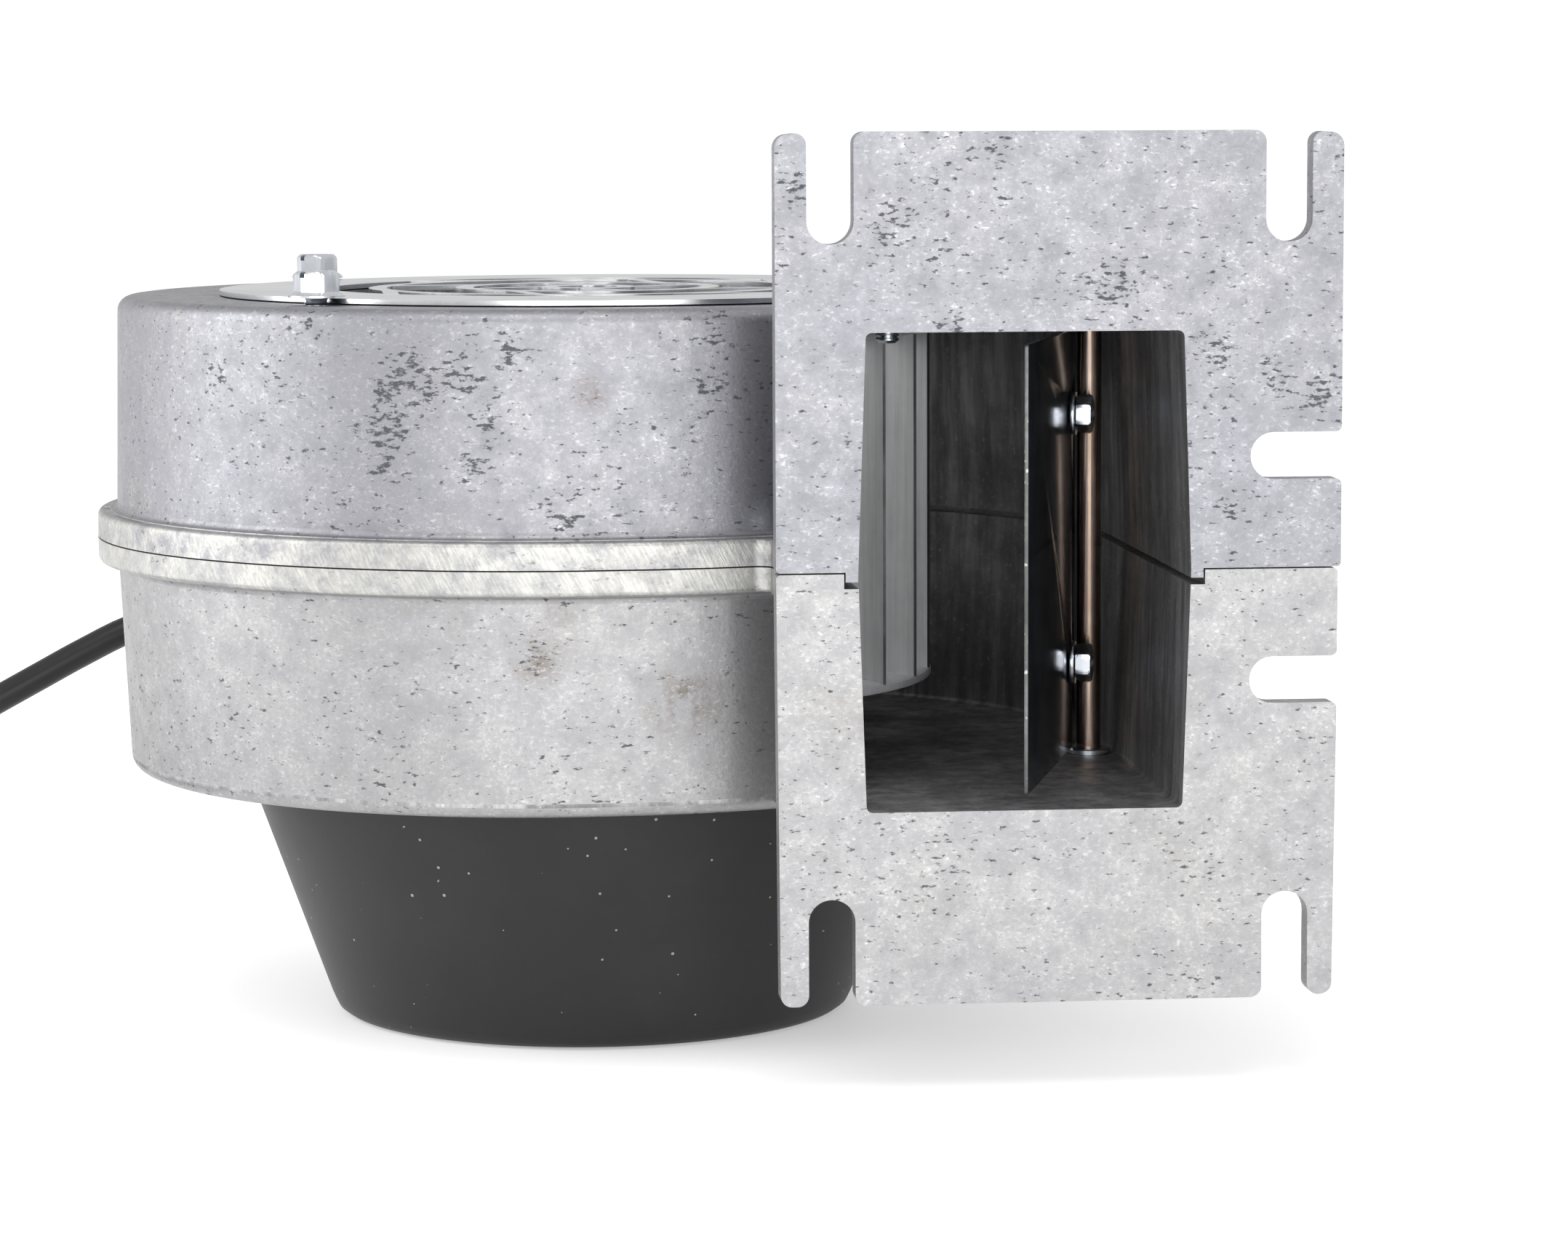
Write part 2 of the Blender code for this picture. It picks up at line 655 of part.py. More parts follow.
def make_cover():
    top = UNDERSIDE - GAP
    slope = (COVER_TOP_RADIUS - COVER_FOOT_RADIUS) / top
    inner_floor = COVER_WALL
    profile = (
        (0.0, 0.0),
        (0.0505, 0.0),
        (0.0530, 0.0006),
        (0.0546, 0.0020),
        (COVER_FOOT_RADIUS + slope * 0.0045, 0.0045),
        (COVER_TOP_RADIUS, top),
        (COVER_TOP_RADIUS - COVER_WALL, top),
        (COVER_FOOT_RADIUS + slope * 0.0060 - COVER_WALL, 0.0060),
        (0.0505, inner_floor),
        (0.0, inner_floor),
    )
    cover = place("motor_cover", turned(profile, 48), (0.028, 0.028, 0.030), 0.0, 0.45)
    for number, degrees in enumerate(COVER_SCREW_ANGLES, 1):
        angle = math.radians(degrees)
        centre = (COVER_SCREW_CIRCLE * math.cos(angle), COVER_SCREW_CIRCLE * math.sin(angle))
        combine(cover, post(f"cover_boss_{number}", 0.0056, 0.0010, 0.0066, centre, 16), "UNION")
        combine(cover, post(f"cover_well_{number}", 0.0042, -0.005, 0.0040, centre, 16), "DIFFERENCE")
        combine(cover, post(f"cover_hole_{number}", 0.0019, -0.005, 0.0100, centre, 12), "DIFFERENCE")
        made = screw(f"cover_screw_{number}", 0.0055, 0.0027, 0.0036, 0.0015, 0.0047)
        made.rotation_euler = (math.pi, 0.0, 0.0)
        made.location = (*centre, 0.0040 - GAP)
    angle = math.radians(CABLE_EXIT_ANGLE)
    hole = tool_from(loft([(0.0, circle(0.0061)), (0.060, circle(0.0061))]), "gland_cut")
    hole.rotation_euler = (0.0, math.radians(90.0), angle)
    hole.location = (0.050 * math.cos(angle), 0.050 * math.sin(angle), CABLE_EXIT_HEIGHT)
    combine(cover, hole, "DIFFERENCE")


def make_gland():
    """Tapered strain relief with a collar outside the cover's wall; local Z is the cable's way out."""
    neck = 0.0058
    profile = (
        (0.0, 0.0),
        (neck, 0.0),
        (neck, 0.0085),
        (0.0088, 0.0125),
        (0.0088, 0.0150),
        (0.0070, 0.0160),
        (0.0048, GLAND_LENGTH),
        (0.0, GLAND_LENGTH),
    )
    gland = place("cable_gland", turned(profile, 20), (0.02, 0.02, 0.022), 0.0, 0.55)
    angle = math.radians(CABLE_EXIT_ANGLE)
    gland.rotation_euler = (0.0, math.radians(90.0), angle)
    gland.location = (0.0602 * math.cos(angle), 0.0602 * math.sin(angle), CABLE_EXIT_HEIGHT)


def smooth_route(route, spacing):
    """Points at an even spacing on a smooth curve through a route."""
    anchors = [Vector(p) for p in route]
    count = len(anchors)
    tangents = []
    for i in range(count):
        tangents.append((anchors[min(i + 1, count - 1)] - anchors[max(i - 1, 0)]) / 2)
    fine = []
    for i in range(count - 1):
        first, last = anchors[i], anchors[i + 1]
        leave, arrive = first + tangents[i] / 3, last - tangents[i + 1] / 3
        fine += interpolate_bezier(first, leave, arrive, last, 24)[:-1]
    fine.append(anchors[-1])
    total = sum((b - a).length for a, b in zip(fine, fine[1:]))
    steps = max(2, round(total / spacing))
    points = [fine[0]]
    walked = 0.0
    for a, b in zip(fine, fine[1:]):
        walked += (b - a).length
        if walked >= total * len(points) / steps and len(points) < steps:
            points.append(b)
    points.append(fine[-1])
    return points


def make_lead(name, route):
    """A stretch of the round cable as a bevelled curve."""
    points = smooth_route(route, CABLE_RADIUS * 5)
    curve = bpy.data.curves.new(name, "CURVE")
    curve.dimensions = "3D"
    curve.bevel_depth = CABLE_RADIUS
    curve.bevel_resolution = 2
    curve.use_fill_caps = True
    spline = curve.splines.new("POLY")
    spline.points.add(len(points) - 1)
    for slot, point in zip(spline.points, points):
        slot.co = (*point, 1.0)
    curve.materials.append(finish(name + "_finish", (0.015, 0.015, 0.016), 0.0, 0.5))
    item = bpy.data.objects.new(name, curve)
    bpy.context.scene.collection.objects.link(item)


def make_coil():
    """The wound length as one ring, three turns wide below and two above, with its tie."""
    half = CABLE_RADIUS * COIL_TURNS_ACROSS
    height = CABLE_RADIUS * (2.0 + math.sqrt(3.0))
    soft = CABLE_RADIUS * 0.6
    low, high = COIL_LIFT, COIL_LIFT + height
    inner, outer = COIL_MIDDLE_RADIUS - half, COIL_MIDDLE_RADIUS + half
    section = (
        (inner, low + soft),
        (inner + soft, low),
        (outer - soft, low),
        (outer, low + soft),
        (outer, low + CABLE_RADIUS * 1.7),
        (outer - CABLE_RADIUS, high),
        (inner + CABLE_RADIUS, high),
        (inner, low + CABLE_RADIUS * 1.7),
    )
    coil = place("cable_coil", turned(section, 30), (0.015, 0.015, 0.016), 0.0, 0.5)
    coil.location = (*COIL_CENTRE, 0.0)

    strap = 0.0009
    room = (inner - GAP, outer + GAP, low - GAP, high + GAP)
    hole = ((room[0], room[2]), (room[1], room[2]), (room[1], room[3]), (room[0], room[3]))
    skin = (
        (room[0] - strap, room[2] - strap),
        (room[1] + strap, room[2] - strap),
        (room[1] + strap, room[3] + strap),
        (room[0] - strap, room[3] + strap),
    )
    bm = bmesh.new()
    loops = []
    for across in (-0.0025, 0.0025):
        for outline in (hole, skin):
            loops.append([bm.verts.new((-across, -r, z)) for r, z in outline])
    order = (0, 1, 3, 2)
    for a, b in zip(order, order[1:] + order[:1]):
        for i in range(4):
            j = (i + 1) % 4
            bm.faces.new((loops[a][i], loops[a][j], loops[b][j], loops[b][i]))
    tie = place("cable_tie", bm, (0.03, 0.03, 0.03), 0.0, 0.6)
    tie.location = (*COIL_CENTRE, 0.0)


def make_plug():
    """A generic inline mains connector lying on its flat side; local Z points forward."""

    def box_outline(half_width, half_height, radius):
        signs = ((-1, -1), (1, -1), (1, 1), (-1, 1))
        return rounded([(a * half_width, b * half_height, radius) for a, b in signs], 3)

    body = box_outline(0.0105, 0.0080, 0.003)
    front = box_outline(0.0125, 0.0082, 0.002)

    def ring(radius):
        turns = [math.atan2(y, x) for x, y in body]
        return [(radius * math.cos(turn), radius * math.sin(turn)) for turn in turns]

    levels = [
        (0.0, ring(0.0042)),
        (0.0200, ring(0.0058)),
        (0.0230, body),
        (0.0400, body),
        (0.0420, front),
        (0.0600, front),
    ]
    plug = place("mains_plug", loft(levels), (0.02, 0.02, 0.022), 0.0, 0.45)
    end, before = Vector(ROUTE_TO_PLUG[-1]), Vector(ROUTE_TO_PLUG[-2])
    way = (end - before).to_2d().normalized()
    plug.rotation_euler = (math.radians(90.0), 0.0, math.atan2(way.y, way.x) + math.radians(90.0))
    plug.location = (end.x + way.x * GAP * 2, end.y + way.y * GAP * 2, PLUG_HEIGHT)


def make_flap(axis):
    """Sheet flap bolted beside its rod; the axis empty's local -Y runs along the plate."""
    face = -ROD_RADIUS - GAP
    back = face - FLAP_THICKNESS
    low, high = FLOOR + FLAP_CLEARANCE, CEILING - FLAP_CLEARANCE
    steel = (0.55, 0.57, 0.62)
    outline = ((back, -FLAP_LENGTH), (face, -FLAP_LENGTH), (face, 0.0025), (back, 0.0025))
    plate = place("flap_plate", loft([(low, outline), (high, outline)]), steel, 1.0, 0.2)
    for height in FLAP_BOLT_HEIGHTS:
        outline = circle(0.0023)
        hole = tool_from(loft([(-0.004, outline), (0.004, outline)]), f"flap_hole_{height:.4f}")
        hole.rotation_euler = (0.0, math.radians(90.0), 0.0)
        hole.location = (face, FLAP_BOLT_REACH, height)
        hole.parent = axis
        combine(plate, hole, "DIFFERENCE")
    plate.parent = axis

    round_bar = circle(ROD_RADIUS, 20)
    bar = loft([(FLOOR - 0.0012, round_bar), (CEILING + 0.0026, round_bar)])
    rod = place("flap_rod", bar, (0.50, 0.42, 0.36), 1.0, 0.3)
    rod.parent = axis

    for label, height in zip(("upper", "lower"), FLAP_BOLT_HEIGHTS):
        bolt = screw(f"flap_bolt_{label}", 0.0070, 0.0034, 0.0038, 0.0019, 0.0088)
        ring = turned(ring_profile(0.0022, 0.0045, 0.0, WASHER), 20)
        washer = place(f"flap_washer_{label}", ring, (0.75, 0.77, 0.80), 1.0, 0.25)
        prism = loft([(0.0, hexagon(0.0070)), (0.0030, hexagon(0.0070))])
        nut = place(f"flap_nut_{label}", prism, (0.72, 0.75, 0.80), 1.0, 0.22)
        outline = circle(0.0022, 16)
        bore = tool_from(loft([(-0.004, outline), (0.008, outline)]), f"nut_bore_{label}")
        combine(nut, bore, "DIFFERENCE")
        bore.parent = nut
        stack = (
            (bolt, back - GAP, -90.0),
            (washer, face + GAP, 90.0),
            (nut, face + WASHER + 2 * GAP, 90.0),
        )
        for piece, distance, turn in stack:
            piece.rotation_euler = (0.0, math.radians(turn), 0.0)
            piece.location = (distance, FLAP_BOLT_REACH, height)
            piece.parent = axis


def make_bushes():
    ends = (("lower", FLOOR, UNDERSIDE + GAP, -1), ("upper", CEILING, TOP - GAP, 1))
    for label, wall, out, side in ends:
        bore = ROD_RADIUS + 0.0002
        seat = wall - side * GAP
        profile = [
            (0.0, out),
            (BUSH_RADIUS, out),
            (BUSH_RADIUS, seat),
            (BUSH_FLANGE_RADIUS, seat),
            (BUSH_FLANGE_RADIUS, seat - side * 0.0010),
            (bore, seat - side * 0.0010),
            (bore, out - side * 0.0008),
            (0.0, out - side * 0.0008),
        ]
        bush = place(f"rod_bush_{label}", turned(profile, 16), (0.75, 0.76, 0.78), 1.0, 0.3)
        bush.location = (HINGE_X, HINGE_Y, 0.0)


def axis_empty(name, location, turn=0.0):
    """An empty on a joint's axis."""
    axis = bpy.data.objects.new(name, None)
    axis.location = location
    axis.rotation_euler = (0.0, 0.0, turn)
    bpy.context.scene.collection.objects.link(axis)
    return axis


def main():
    clear_scene()
    make_upper_shell()
    make_lower_shell()
    make_shell_screws()
    make_guard()
    spin_axis = axis_empty("impeller_axis", (0.0, 0.0, 0.0))
    make_impeller(spin_axis)
    make_shaft_and_rotor(spin_axis)
    make_motor()
    make_terminal_block()
    make_cover()
    make_flap(axis_empty("flap_axis", (HINGE_X, HINGE_Y, 0.0), FLAP_REST_ANGLE))
    make_bushes()
    make_gland()
    make_lead("mains_cable", ROUTE_TO_COIL)
    make_coil()
    make_lead("mains_cable_tail", ROUTE_TO_PLUG)
    make_plug()


main()
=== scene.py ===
"""Combustion fan for a small solid-fuel boiler, laid out as an add-on.

A die-cast scroll in two halves with a slotted outlet flange, a drum wheel on a motor under a black
cover, a swinging flap in the outlet, an inlet guard and a mains lead.  Sizes are in metres and every
piece is made in the frame's own coordinates: +Z up along the shaft, the air leaving towards -Y.
"""

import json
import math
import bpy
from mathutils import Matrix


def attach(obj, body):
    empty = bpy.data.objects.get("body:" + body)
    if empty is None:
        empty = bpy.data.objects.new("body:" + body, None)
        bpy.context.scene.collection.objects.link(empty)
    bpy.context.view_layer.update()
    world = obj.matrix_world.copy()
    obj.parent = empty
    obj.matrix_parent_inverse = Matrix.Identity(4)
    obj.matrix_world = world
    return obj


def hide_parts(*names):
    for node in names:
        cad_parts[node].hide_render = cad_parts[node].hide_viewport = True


bl_info = {
    "name": "Combustion Fan",
    "version": (1, 0, 0),
    "blender": (4, 5, 0),
    "location": "View3D > Sidebar > Fan",
    "description": "Makes a boiler's combustion fan piece by piece around its CAD frame",
    "category": "Add Mesh",
}

import bmesh
import bpy
from mathutils import Matrix, Vector
from mathutils.geometry import convex_hull_2d, interpolate_bezier

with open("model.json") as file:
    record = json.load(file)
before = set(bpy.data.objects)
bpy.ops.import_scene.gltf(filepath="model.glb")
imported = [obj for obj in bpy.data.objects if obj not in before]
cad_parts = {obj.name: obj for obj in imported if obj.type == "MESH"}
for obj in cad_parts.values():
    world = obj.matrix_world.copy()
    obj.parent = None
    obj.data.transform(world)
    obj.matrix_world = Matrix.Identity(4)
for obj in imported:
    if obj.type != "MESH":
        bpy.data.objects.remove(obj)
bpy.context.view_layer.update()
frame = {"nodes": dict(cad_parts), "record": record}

GAP = 0.0003  # clearance between pieces that rest on each other

# Scroll and its two halves
SEAM = 0.101
TOP = 0.1509
CEILING = 0.1467
FLOOR = 0.0549
UNDERSIDE = 0.0520
FRONT_RADIUS = 0.0850
GROWTH = 0.0245
SCROLL_TURN = 270.0
DUCT_LEFT = 0.0453
DUCT_RIGHT = FRONT_RADIUS + GROWTH
CAVITY_DRAFT = 0.0015
NOSE_ROUND = 0.0030
INLET_RADIUS = 0.0545
RIM_LEFT = 0.0304
TONGUE_WIDTH = 0.0024
TONGUE_DEPTH = 0.0017
RIM_RISE = 0.0055
RIM_DROP = 0.0052
UPPER_DRAFT = 0.0009
LOWER_DRAFT = 0.0022
CAVITY_CORNER = 0.0012
REBATE_DEPTH = 0.0030
LUG_RADIUS = 0.0065
LUG_HOLE_RADIUS = 0.0027
SCREW_HOLE_RADIUS = 0.0028
MOTOR_BOLT_CIRCLE = 0.0490
LUGS = ((-0.0620, 0.0935), (0.0724, 0.0916), (0.1195, -0.0350), (0.0366, -0.0893))

# Outlet flange
FLANGE_FACE = -0.1040
FLANGE_THICKNESS = 0.0055
FLANGE_LEFT = 0.0296
FLANGE_RIGHT = 0.1386
FLANGE_TOP = 0.1846
FLANGE_BOTTOM = 0.0175
SLOT_LEFT = 0.0401
SLOT_RIGHT = 0.1281
SLOT_MOUTH_ROUND = 0.0022
SLOT_TOP_END = 0.1634
SLOT_BOTTOM_END = 0.0382
SIDE_SLOT_END = 0.1209
SIDE_SLOT_RISE = 0.0216
LOWER_FLANGE_INSET = 0.0006

# Wheel, guard and flap
WHEEL_RADIUS = 0.0720
WHEEL_INNER_RADIUS = 0.0590
WHEEL_BOTTOM = 0.0705
WHEEL_TOP = 0.1445
WHEEL_SHEET = 0.0016
HUB_RADIUS = 0.0110
HUB_TOP = 0.0860
SHAFT_RADIUS = 0.0040
GUARD_LOW = TOP + GAP
GUARD_RINGS = (0.0458, 0.0277, 0.0100)  # outer radii
GUARD_ARM_LEAD = math.radians(24.0)  # how far a bridge turns as it runs outwards
SCREW_CIRCLE = 0.0800
HINGE = Vector((0.1026, -0.0250, 0.0))
FLAP_TURN = math.radians(-16.0)
ROD_RADIUS = 0.0025
FLAP_BOLT_HEIGHTS = (0.1265, 0.0750)
FLAP_BOLT_REACH = -0.0090
WASHER = 0.0009

# Motor cover and mains lead
COVER_FOOT_RADIUS = 0.0540
COVER_TOP_RADIUS = 0.0725
COVER_WALL = 0.0025
COVER_SCREW_CIRCLE = 0.0440
CABLE_RADIUS = 0.0034
CABLE_EXIT_TURN = math.radians(100.0)
CABLE_EXIT_HEIGHT = 0.0320
GLAND_START = 0.0602
GLAND_LENGTH = 0.0340
COIL_CENTRE = Vector((-0.1980, 0.0420, 0.0))
COIL_MIDDLE_RADIUS = 0.0370
COIL_START_TURN, COIL_END_TURN = 180.0, 1630.0  # degrees walked round the coil
COIL_STEPS = 128
COIL_LOW = 0.0046  # height of the lower layer's cable centre
COIL_HIGH = COIL_LOW + CABLE_RADIUS * math.sqrt(3.0)
PLUG_HEIGHT = 0.0084
ROUTE_TO_COIL = (
    (-0.0164, 0.0931, 0.0320),
    (-0.0205, 0.1160, 0.0334),
    (-0.0260, 0.1340, 0.0400),
    (-0.0360, 0.1490, 0.0500),
    (-0.0520, 0.1575, 0.0605),
    (-0.0720, 0.1575, 0.0678),
    (-0.0900, 0.1540, 0.0685),
    (-0.1050, 0.1520, 0.0640),
    (-0.1280, 0.1500, 0.0522),
    (-0.1550, 0.1480, 0.0372),
    (-0.1810, 0.1445, 0.0215),
    (-0.2030, 0.1380, 0.0090),
    (-0.2200, 0.1270, 0.0042),
    (-0.2330, 0.1120, 0.0036),
    (-0.2410, 0.0940, 0.0036),
    (-0.2462, 0.0740, 0.0040),
    (-0.2484, 0.0600, 0.0044),
    (-0.2490, 0.0470, 0.0046),
)
ROUTE_TO_PLUG = (
    (-0.2328, 0.0034, 0.0098),
    (-0.2308, -0.0080, 0.0080),
    (-0.2285, -0.0195, 0.0066),
    (-0.2255, -0.0305, 0.0070),
    (-0.2220, -0.0400, PLUG_HEIGHT),
)

# Where dark flecks crowd together and where brown stains sit: centre, full within, fading over
UPPER_PATCHES = (
    ((-0.0393, -0.0817, 0.1354), 0.0035, 0.0070),
    ((-0.0433, -0.0800, 0.1279), 0.0025, 0.0060),
    ((-0.0244, -0.0859, 0.1301), 0.0010, 0.0060),
    ((-0.0443, -0.0796, 0.1212), 0.0010, 0.0060),
    ((-0.0293, -0.0849, 0.1384), 0.0015, 0.0070),
    ((-0.0200, -0.0867, 0.1427), 0.0005, 0.0060),
    ((-0.0275, -0.0853, 0.1201), 0.0000, 0.0060),
    ((0.0195, -0.0850, 0.1453), 0.0005, 0.0060),
    ((0.0194, -0.0850, 0.1360), 0.0005, 0.0060),
    ((-0.0104, -0.0875, 0.1111), 0.0005, 0.0060),
    ((-0.0761, -0.0555, 0.1367), 0.0000, 0.0080),
    ((0.1138, -0.1040, 0.1428), 0.0012, 0.0050),
    ((0.1344, -0.1040, 0.1347), 0.0015, 0.0060),
    ((0.1254, -0.1040, 0.1378), 0.0005, 0.0050),
    ((0.1171, -0.1040, 0.1138), 0.0002, 0.0050),
    ((0.0626, -0.1040, 0.1487), 0.0002, 0.0050),
    ((0.0522, -0.1040, 0.1667), 0.0002, 0.0090),
    ((0.0716, -0.1040, 0.1812), 0.0000, 0.0060),
    ((0.0942, -0.1040, 0.1559), 0.0000, 0.0100),
    ((0.0344, -0.1040, 0.1739), 0.0000, 0.0070),
)
UPPER_BROWN = (((-0.0042, -0.0876, 0.1349), 0.0010, 0.0040),)
LOWER_PATCHES = (
    ((-0.0152, -0.0865, 0.0837), 0.0000, 0.0060),
    ((0.1028, -0.1040, 0.0867), 0.0000, 0.0060),
)
LOWER_BROWN = (
    ((-0.0152, -0.0865, 0.0837), 0.0010, 0.0060),
    ((0.0129, -0.0855, 0.0745), 0.0020, 0.0080),
    ((-0.0105, -0.0869, 0.0927), 0.0000, 0.0040),
)


# ---------------------------------------------------------------- settings


class FanCastingSettings(bpy.types.PropertyGroup):
    wall: bpy.props.FloatProperty(
        name="Wall", description="Thickness of the scroll's side wall", default=0.0027, unit="LENGTH"
    )
    edge_round: bpy.props.FloatProperty(
        name="Edge rounding", description="Radius of the scroll's outer edges", default=0.0030, unit="LENGTH"
    )
    worn_edge: bpy.props.FloatProperty(
        name="Worn edge", description="Width of the rubbed edges", default=0.00045, unit="LENGTH"
    )
    slot_width: bpy.props.FloatProperty(
        name="Slot width", description="Width of the flange's open slots", default=0.0090, unit="LENGTH"
    )
    rim_width: bpy.props.FloatProperty(
        name="Rim width", description="How far the seam's rim stands out", default=0.0040, unit="LENGTH"
    )
    steps: bpy.props.IntProperty(
        name="Steps", description="Segments round the scroll", default=132, min=24
    )
    metal: bpy.props.FloatVectorProperty(
        name="Metal", description="Colour of the cast metal", default=(0.355, 0.355, 0.385), subtype="COLOR"
    )


class FanWheelSettings(bpy.types.PropertyGroup):
    blades: bpy.props.IntProperty(name="Blades", description="Number of blades", default=28, min=3)
    blade_thickness: bpy.props.FloatProperty(
        name="Blade thickness", description="Sheet thickness of a blade", default=0.0006, unit="LENGTH"
    )
    first_blade: bpy.props.FloatProperty(
        name="First blade", description="Turn of the first blade in degrees", default=-4.5
    )
    blade_bend: bpy.props.FloatProperty(
        name="Blade bend", description="Radius of a blade's curve", default=0.0140, unit="LENGTH"
    )
    metal: bpy.props.FloatVectorProperty(
        name="Metal", description="Colour of the wheel's sheet", default=(0.90, 0.905, 0.91), subtype="COLOR"
    )


class FanGuardSettings(bpy.types.PropertyGroup):
    radius: bpy.props.FloatProperty(
        name="Radius", description="Outer radius of the guard", default=0.0768, unit="LENGTH"
    )
    opening: bpy.props.FloatProperty(
        name="Opening", description="Radius of the guard's opening", default=0.0540, unit="LENGTH"
    )
    thickness: bpy.props.FloatProperty(
        name="Thickness", description="Sheet thickness", default=0.0010, unit="LENGTH"
    )
    strip: bpy.props.FloatProperty(
        name="Strip", description="Width of the rings", default=0.0037, unit="LENGTH"
    )
    arms: bpy.props.IntProperty(
        name="Arms", description="Bridges between two rings", default=4, min=2
    )


class FanFlapSettings(bpy.types.PropertyGroup):
    length: bpy.props.FloatProperty(
        name="Length", description="From the rod to the flap's free edge", default=0.0759, unit="LENGTH"
    )
    thickness: bpy.props.FloatProperty(
        name="Thickness", description="Sheet thickness", default=0.0008, unit="LENGTH"
    )
    clearance: bpy.props.FloatProperty(
        name="Clearance", description="Gap above and below the plate", default=0.0018, unit="LENGTH"
    )


class FanLeadSettings(bpy.types.PropertyGroup):
    length: bpy.props.FloatProperty(
        name="Length", description="Length of the mains lead", default=1.38, unit="LENGTH"
    )
    sheath: bpy.props.FloatVectorProperty(
        name="Sheath",
        description="Colour of the lead's sheath",
        default=(0.012, 0.012, 0.013),
        subtype="COLOR",
    )


class FanStageSettings(bpy.types.PropertyGroup):
    lens: bpy.props.FloatProperty(
        name="Lens", description="Focal length in millimetres", default=107.68, min=10.0
    )
    camera_place: bpy.props.FloatVectorProperty(
        name="Camera",
        description="Where the camera stands",
        default=(-0.0547, -0.9866, 0.1875),
        unit="LENGTH",
    )
    yaw: bpy.props.FloatProperty(
        name="Yaw", description="Turn towards +X", default=math.radians(5.55), subtype="ANGLE"
    )
    pitch: bpy.props.FloatProperty(
        name="Pitch", description="Downward tilt", default=math.radians(6.194), subtype="ANGLE"
    )
    roll: bpy.props.FloatProperty(
        name="Roll", description="Turn about the view axis", default=-0.00425, subtype="ANGLE"
    )
    surround: bpy.props.FloatProperty(
        name="Surround", description="Strength of the surrounding light", default=0.72, min=0.0
    )
    table: bpy.props.FloatProperty(
        name="Table", description="The floor's own glow", default=0.36, min=0.0
    )
    key: bpy.props.FloatProperty(
        name="Key light", description="Power of the key light in watts", default=8.0, min=0.0
    )


# ---------------------------------------------------------------- shapes


def loft(levels):
    """A closed body through outlines of one point count, each at its own height."""
    bm = bmesh.new()
    rings = [[bm.verts.new((x, y, height)) for x, y in outline] for height, outline in levels]
    count = len(rings[0])
    for low, high in zip(rings, rings[1:]):
        for i in range(count):
            j = (i + 1) % count
            bm.faces.new((low[i], low[j], high[j], high[i]))
    bm.faces.new(rings[0])
    bm.faces.new(rings[-1])
    return bm


def turned(profile, steps=96):
    """A body of revolution about Z from (radius, height) points; an open profile ends on the axis."""
    bm = bmesh.new()
    verts = [bm.verts.new((radius, 0.0, height)) for radius, height in profile]
    pairs = list(zip(verts, verts[1:]))
    if profile[0][0] > 0.0:
        pairs.append((verts[-1], verts[0]))
    edges = [bm.edges.new(pair) for pair in pairs]
    bmesh.ops.spin(bm, geom=verts + edges, axis=(0, 0, 1), cent=(0, 0, 0), angle=math.tau, steps=steps)
    return bm


def circle(radius, count=32, centre=(0.0, 0.0)):
    """Points of a circle, counter-clockwise."""
    turns = [math.tau * i / count for i in range(count)]
    return [(centre[0] + radius * math.cos(a), centre[1] + radius * math.sin(a)) for a in turns]


def ring_profile(inner, outer, low, high, soft=0.0):
    """The square section of a ring, its corners cut by soft."""
    if not soft:
        return [(inner, low), (outer, low), (outer, high), (inner, high)]
    near = soft * 0.3
    points = []
    for x, z, a, b in ((inner, low, 1, 1), (outer, low, -1, 1), (outer, high, -1, -1), (inner, high, 1, -1)):
        corner = [(x, z + b * soft), (x + a * near, z + b * near), (x + a * soft, z)]
        points += corner if (x, z) in ((inner, low), (outer, high)) else corner[::-1]
    return points


def rounded(corners, steps=8):
    """An outline through (x, z, radius) corners, each replaced by an arc."""
    points = []
    for i, (x, z, radius) in enumerate(corners):
        here = Vector((x, z))
        if radius == 0.0:
            points.append(tuple(here))
            continue
        back = (Vector(corners[i - 1][:2]) - here).normalized()
        ahead = (Vector(corners[(i + 1) % len(corners)][:2]) - here).normalized()
        half = back.angle(ahead) / 2
        centre = here + (back + ahead).normalized() * radius / math.sin(half)
        start = here + back * radius / math.tan(half) - centre
        end = here + ahead * radius / math.tan(half) - centre
        sweep = start.angle_signed(end)
        for k in range(steps + 1):
            cos, sin = math.cos(-sweep * k / steps), math.sin(-sweep * k / steps)
            across = centre.x + start.x * cos - start.y * sin
            up = centre.y + start.x * sin + start.y * cos
            points.append((across, up))
    return points


def object_from(name, bm, placing=None):
    """Close a bmesh into an object at the origin, its place in its mesh."""
    bmesh.ops.remove_doubles(bm, verts=bm.verts, dist=1e-6)
    bmesh.ops.recalc_face_normals(bm, faces=bm.faces)
    mesh = bpy.data.meshes.new(name)
    bm.to_mesh(mesh)
    bm.free()
    if placing is not None:
        mesh.transform(placing)
    item = bpy.data.objects.new(name, mesh)
    bpy.context.scene.collection.objects.link(item)
    return item


def bake(item):
    """Replace an object's mesh by what its modifiers make of it, and remove the modifiers."""
    graph = bpy.context.evaluated_depsgraph_get()
    made = bpy.data.meshes.new_from_object(item.evaluated_get(graph))
    item.modifiers.clear()
    old = item.data
    item.data = made
    if old.users == 0:
        (bpy.data.meshes if isinstance(old, bpy.types.Mesh) else bpy.data.curves).remove(old)


def shade(item, degrees=32.0):
    """Smooth shading, kept sharp past an angle."""
    item.data.shade_smooth()
    item.data.set_sharp_from_angle(angle=math.radians(degrees))


def combine(target, tools, operation):
    """Join tools to a target or cut them away, one after another."""
    for tool in tools:
        step = target.modifiers.new(tool.name, "BOOLEAN")
        step.operation = operation
        step.solver = "EXACT"
        step.object = tool
    bake(target)
    for tool in tools:
        bpy.data.objects.remove(tool)


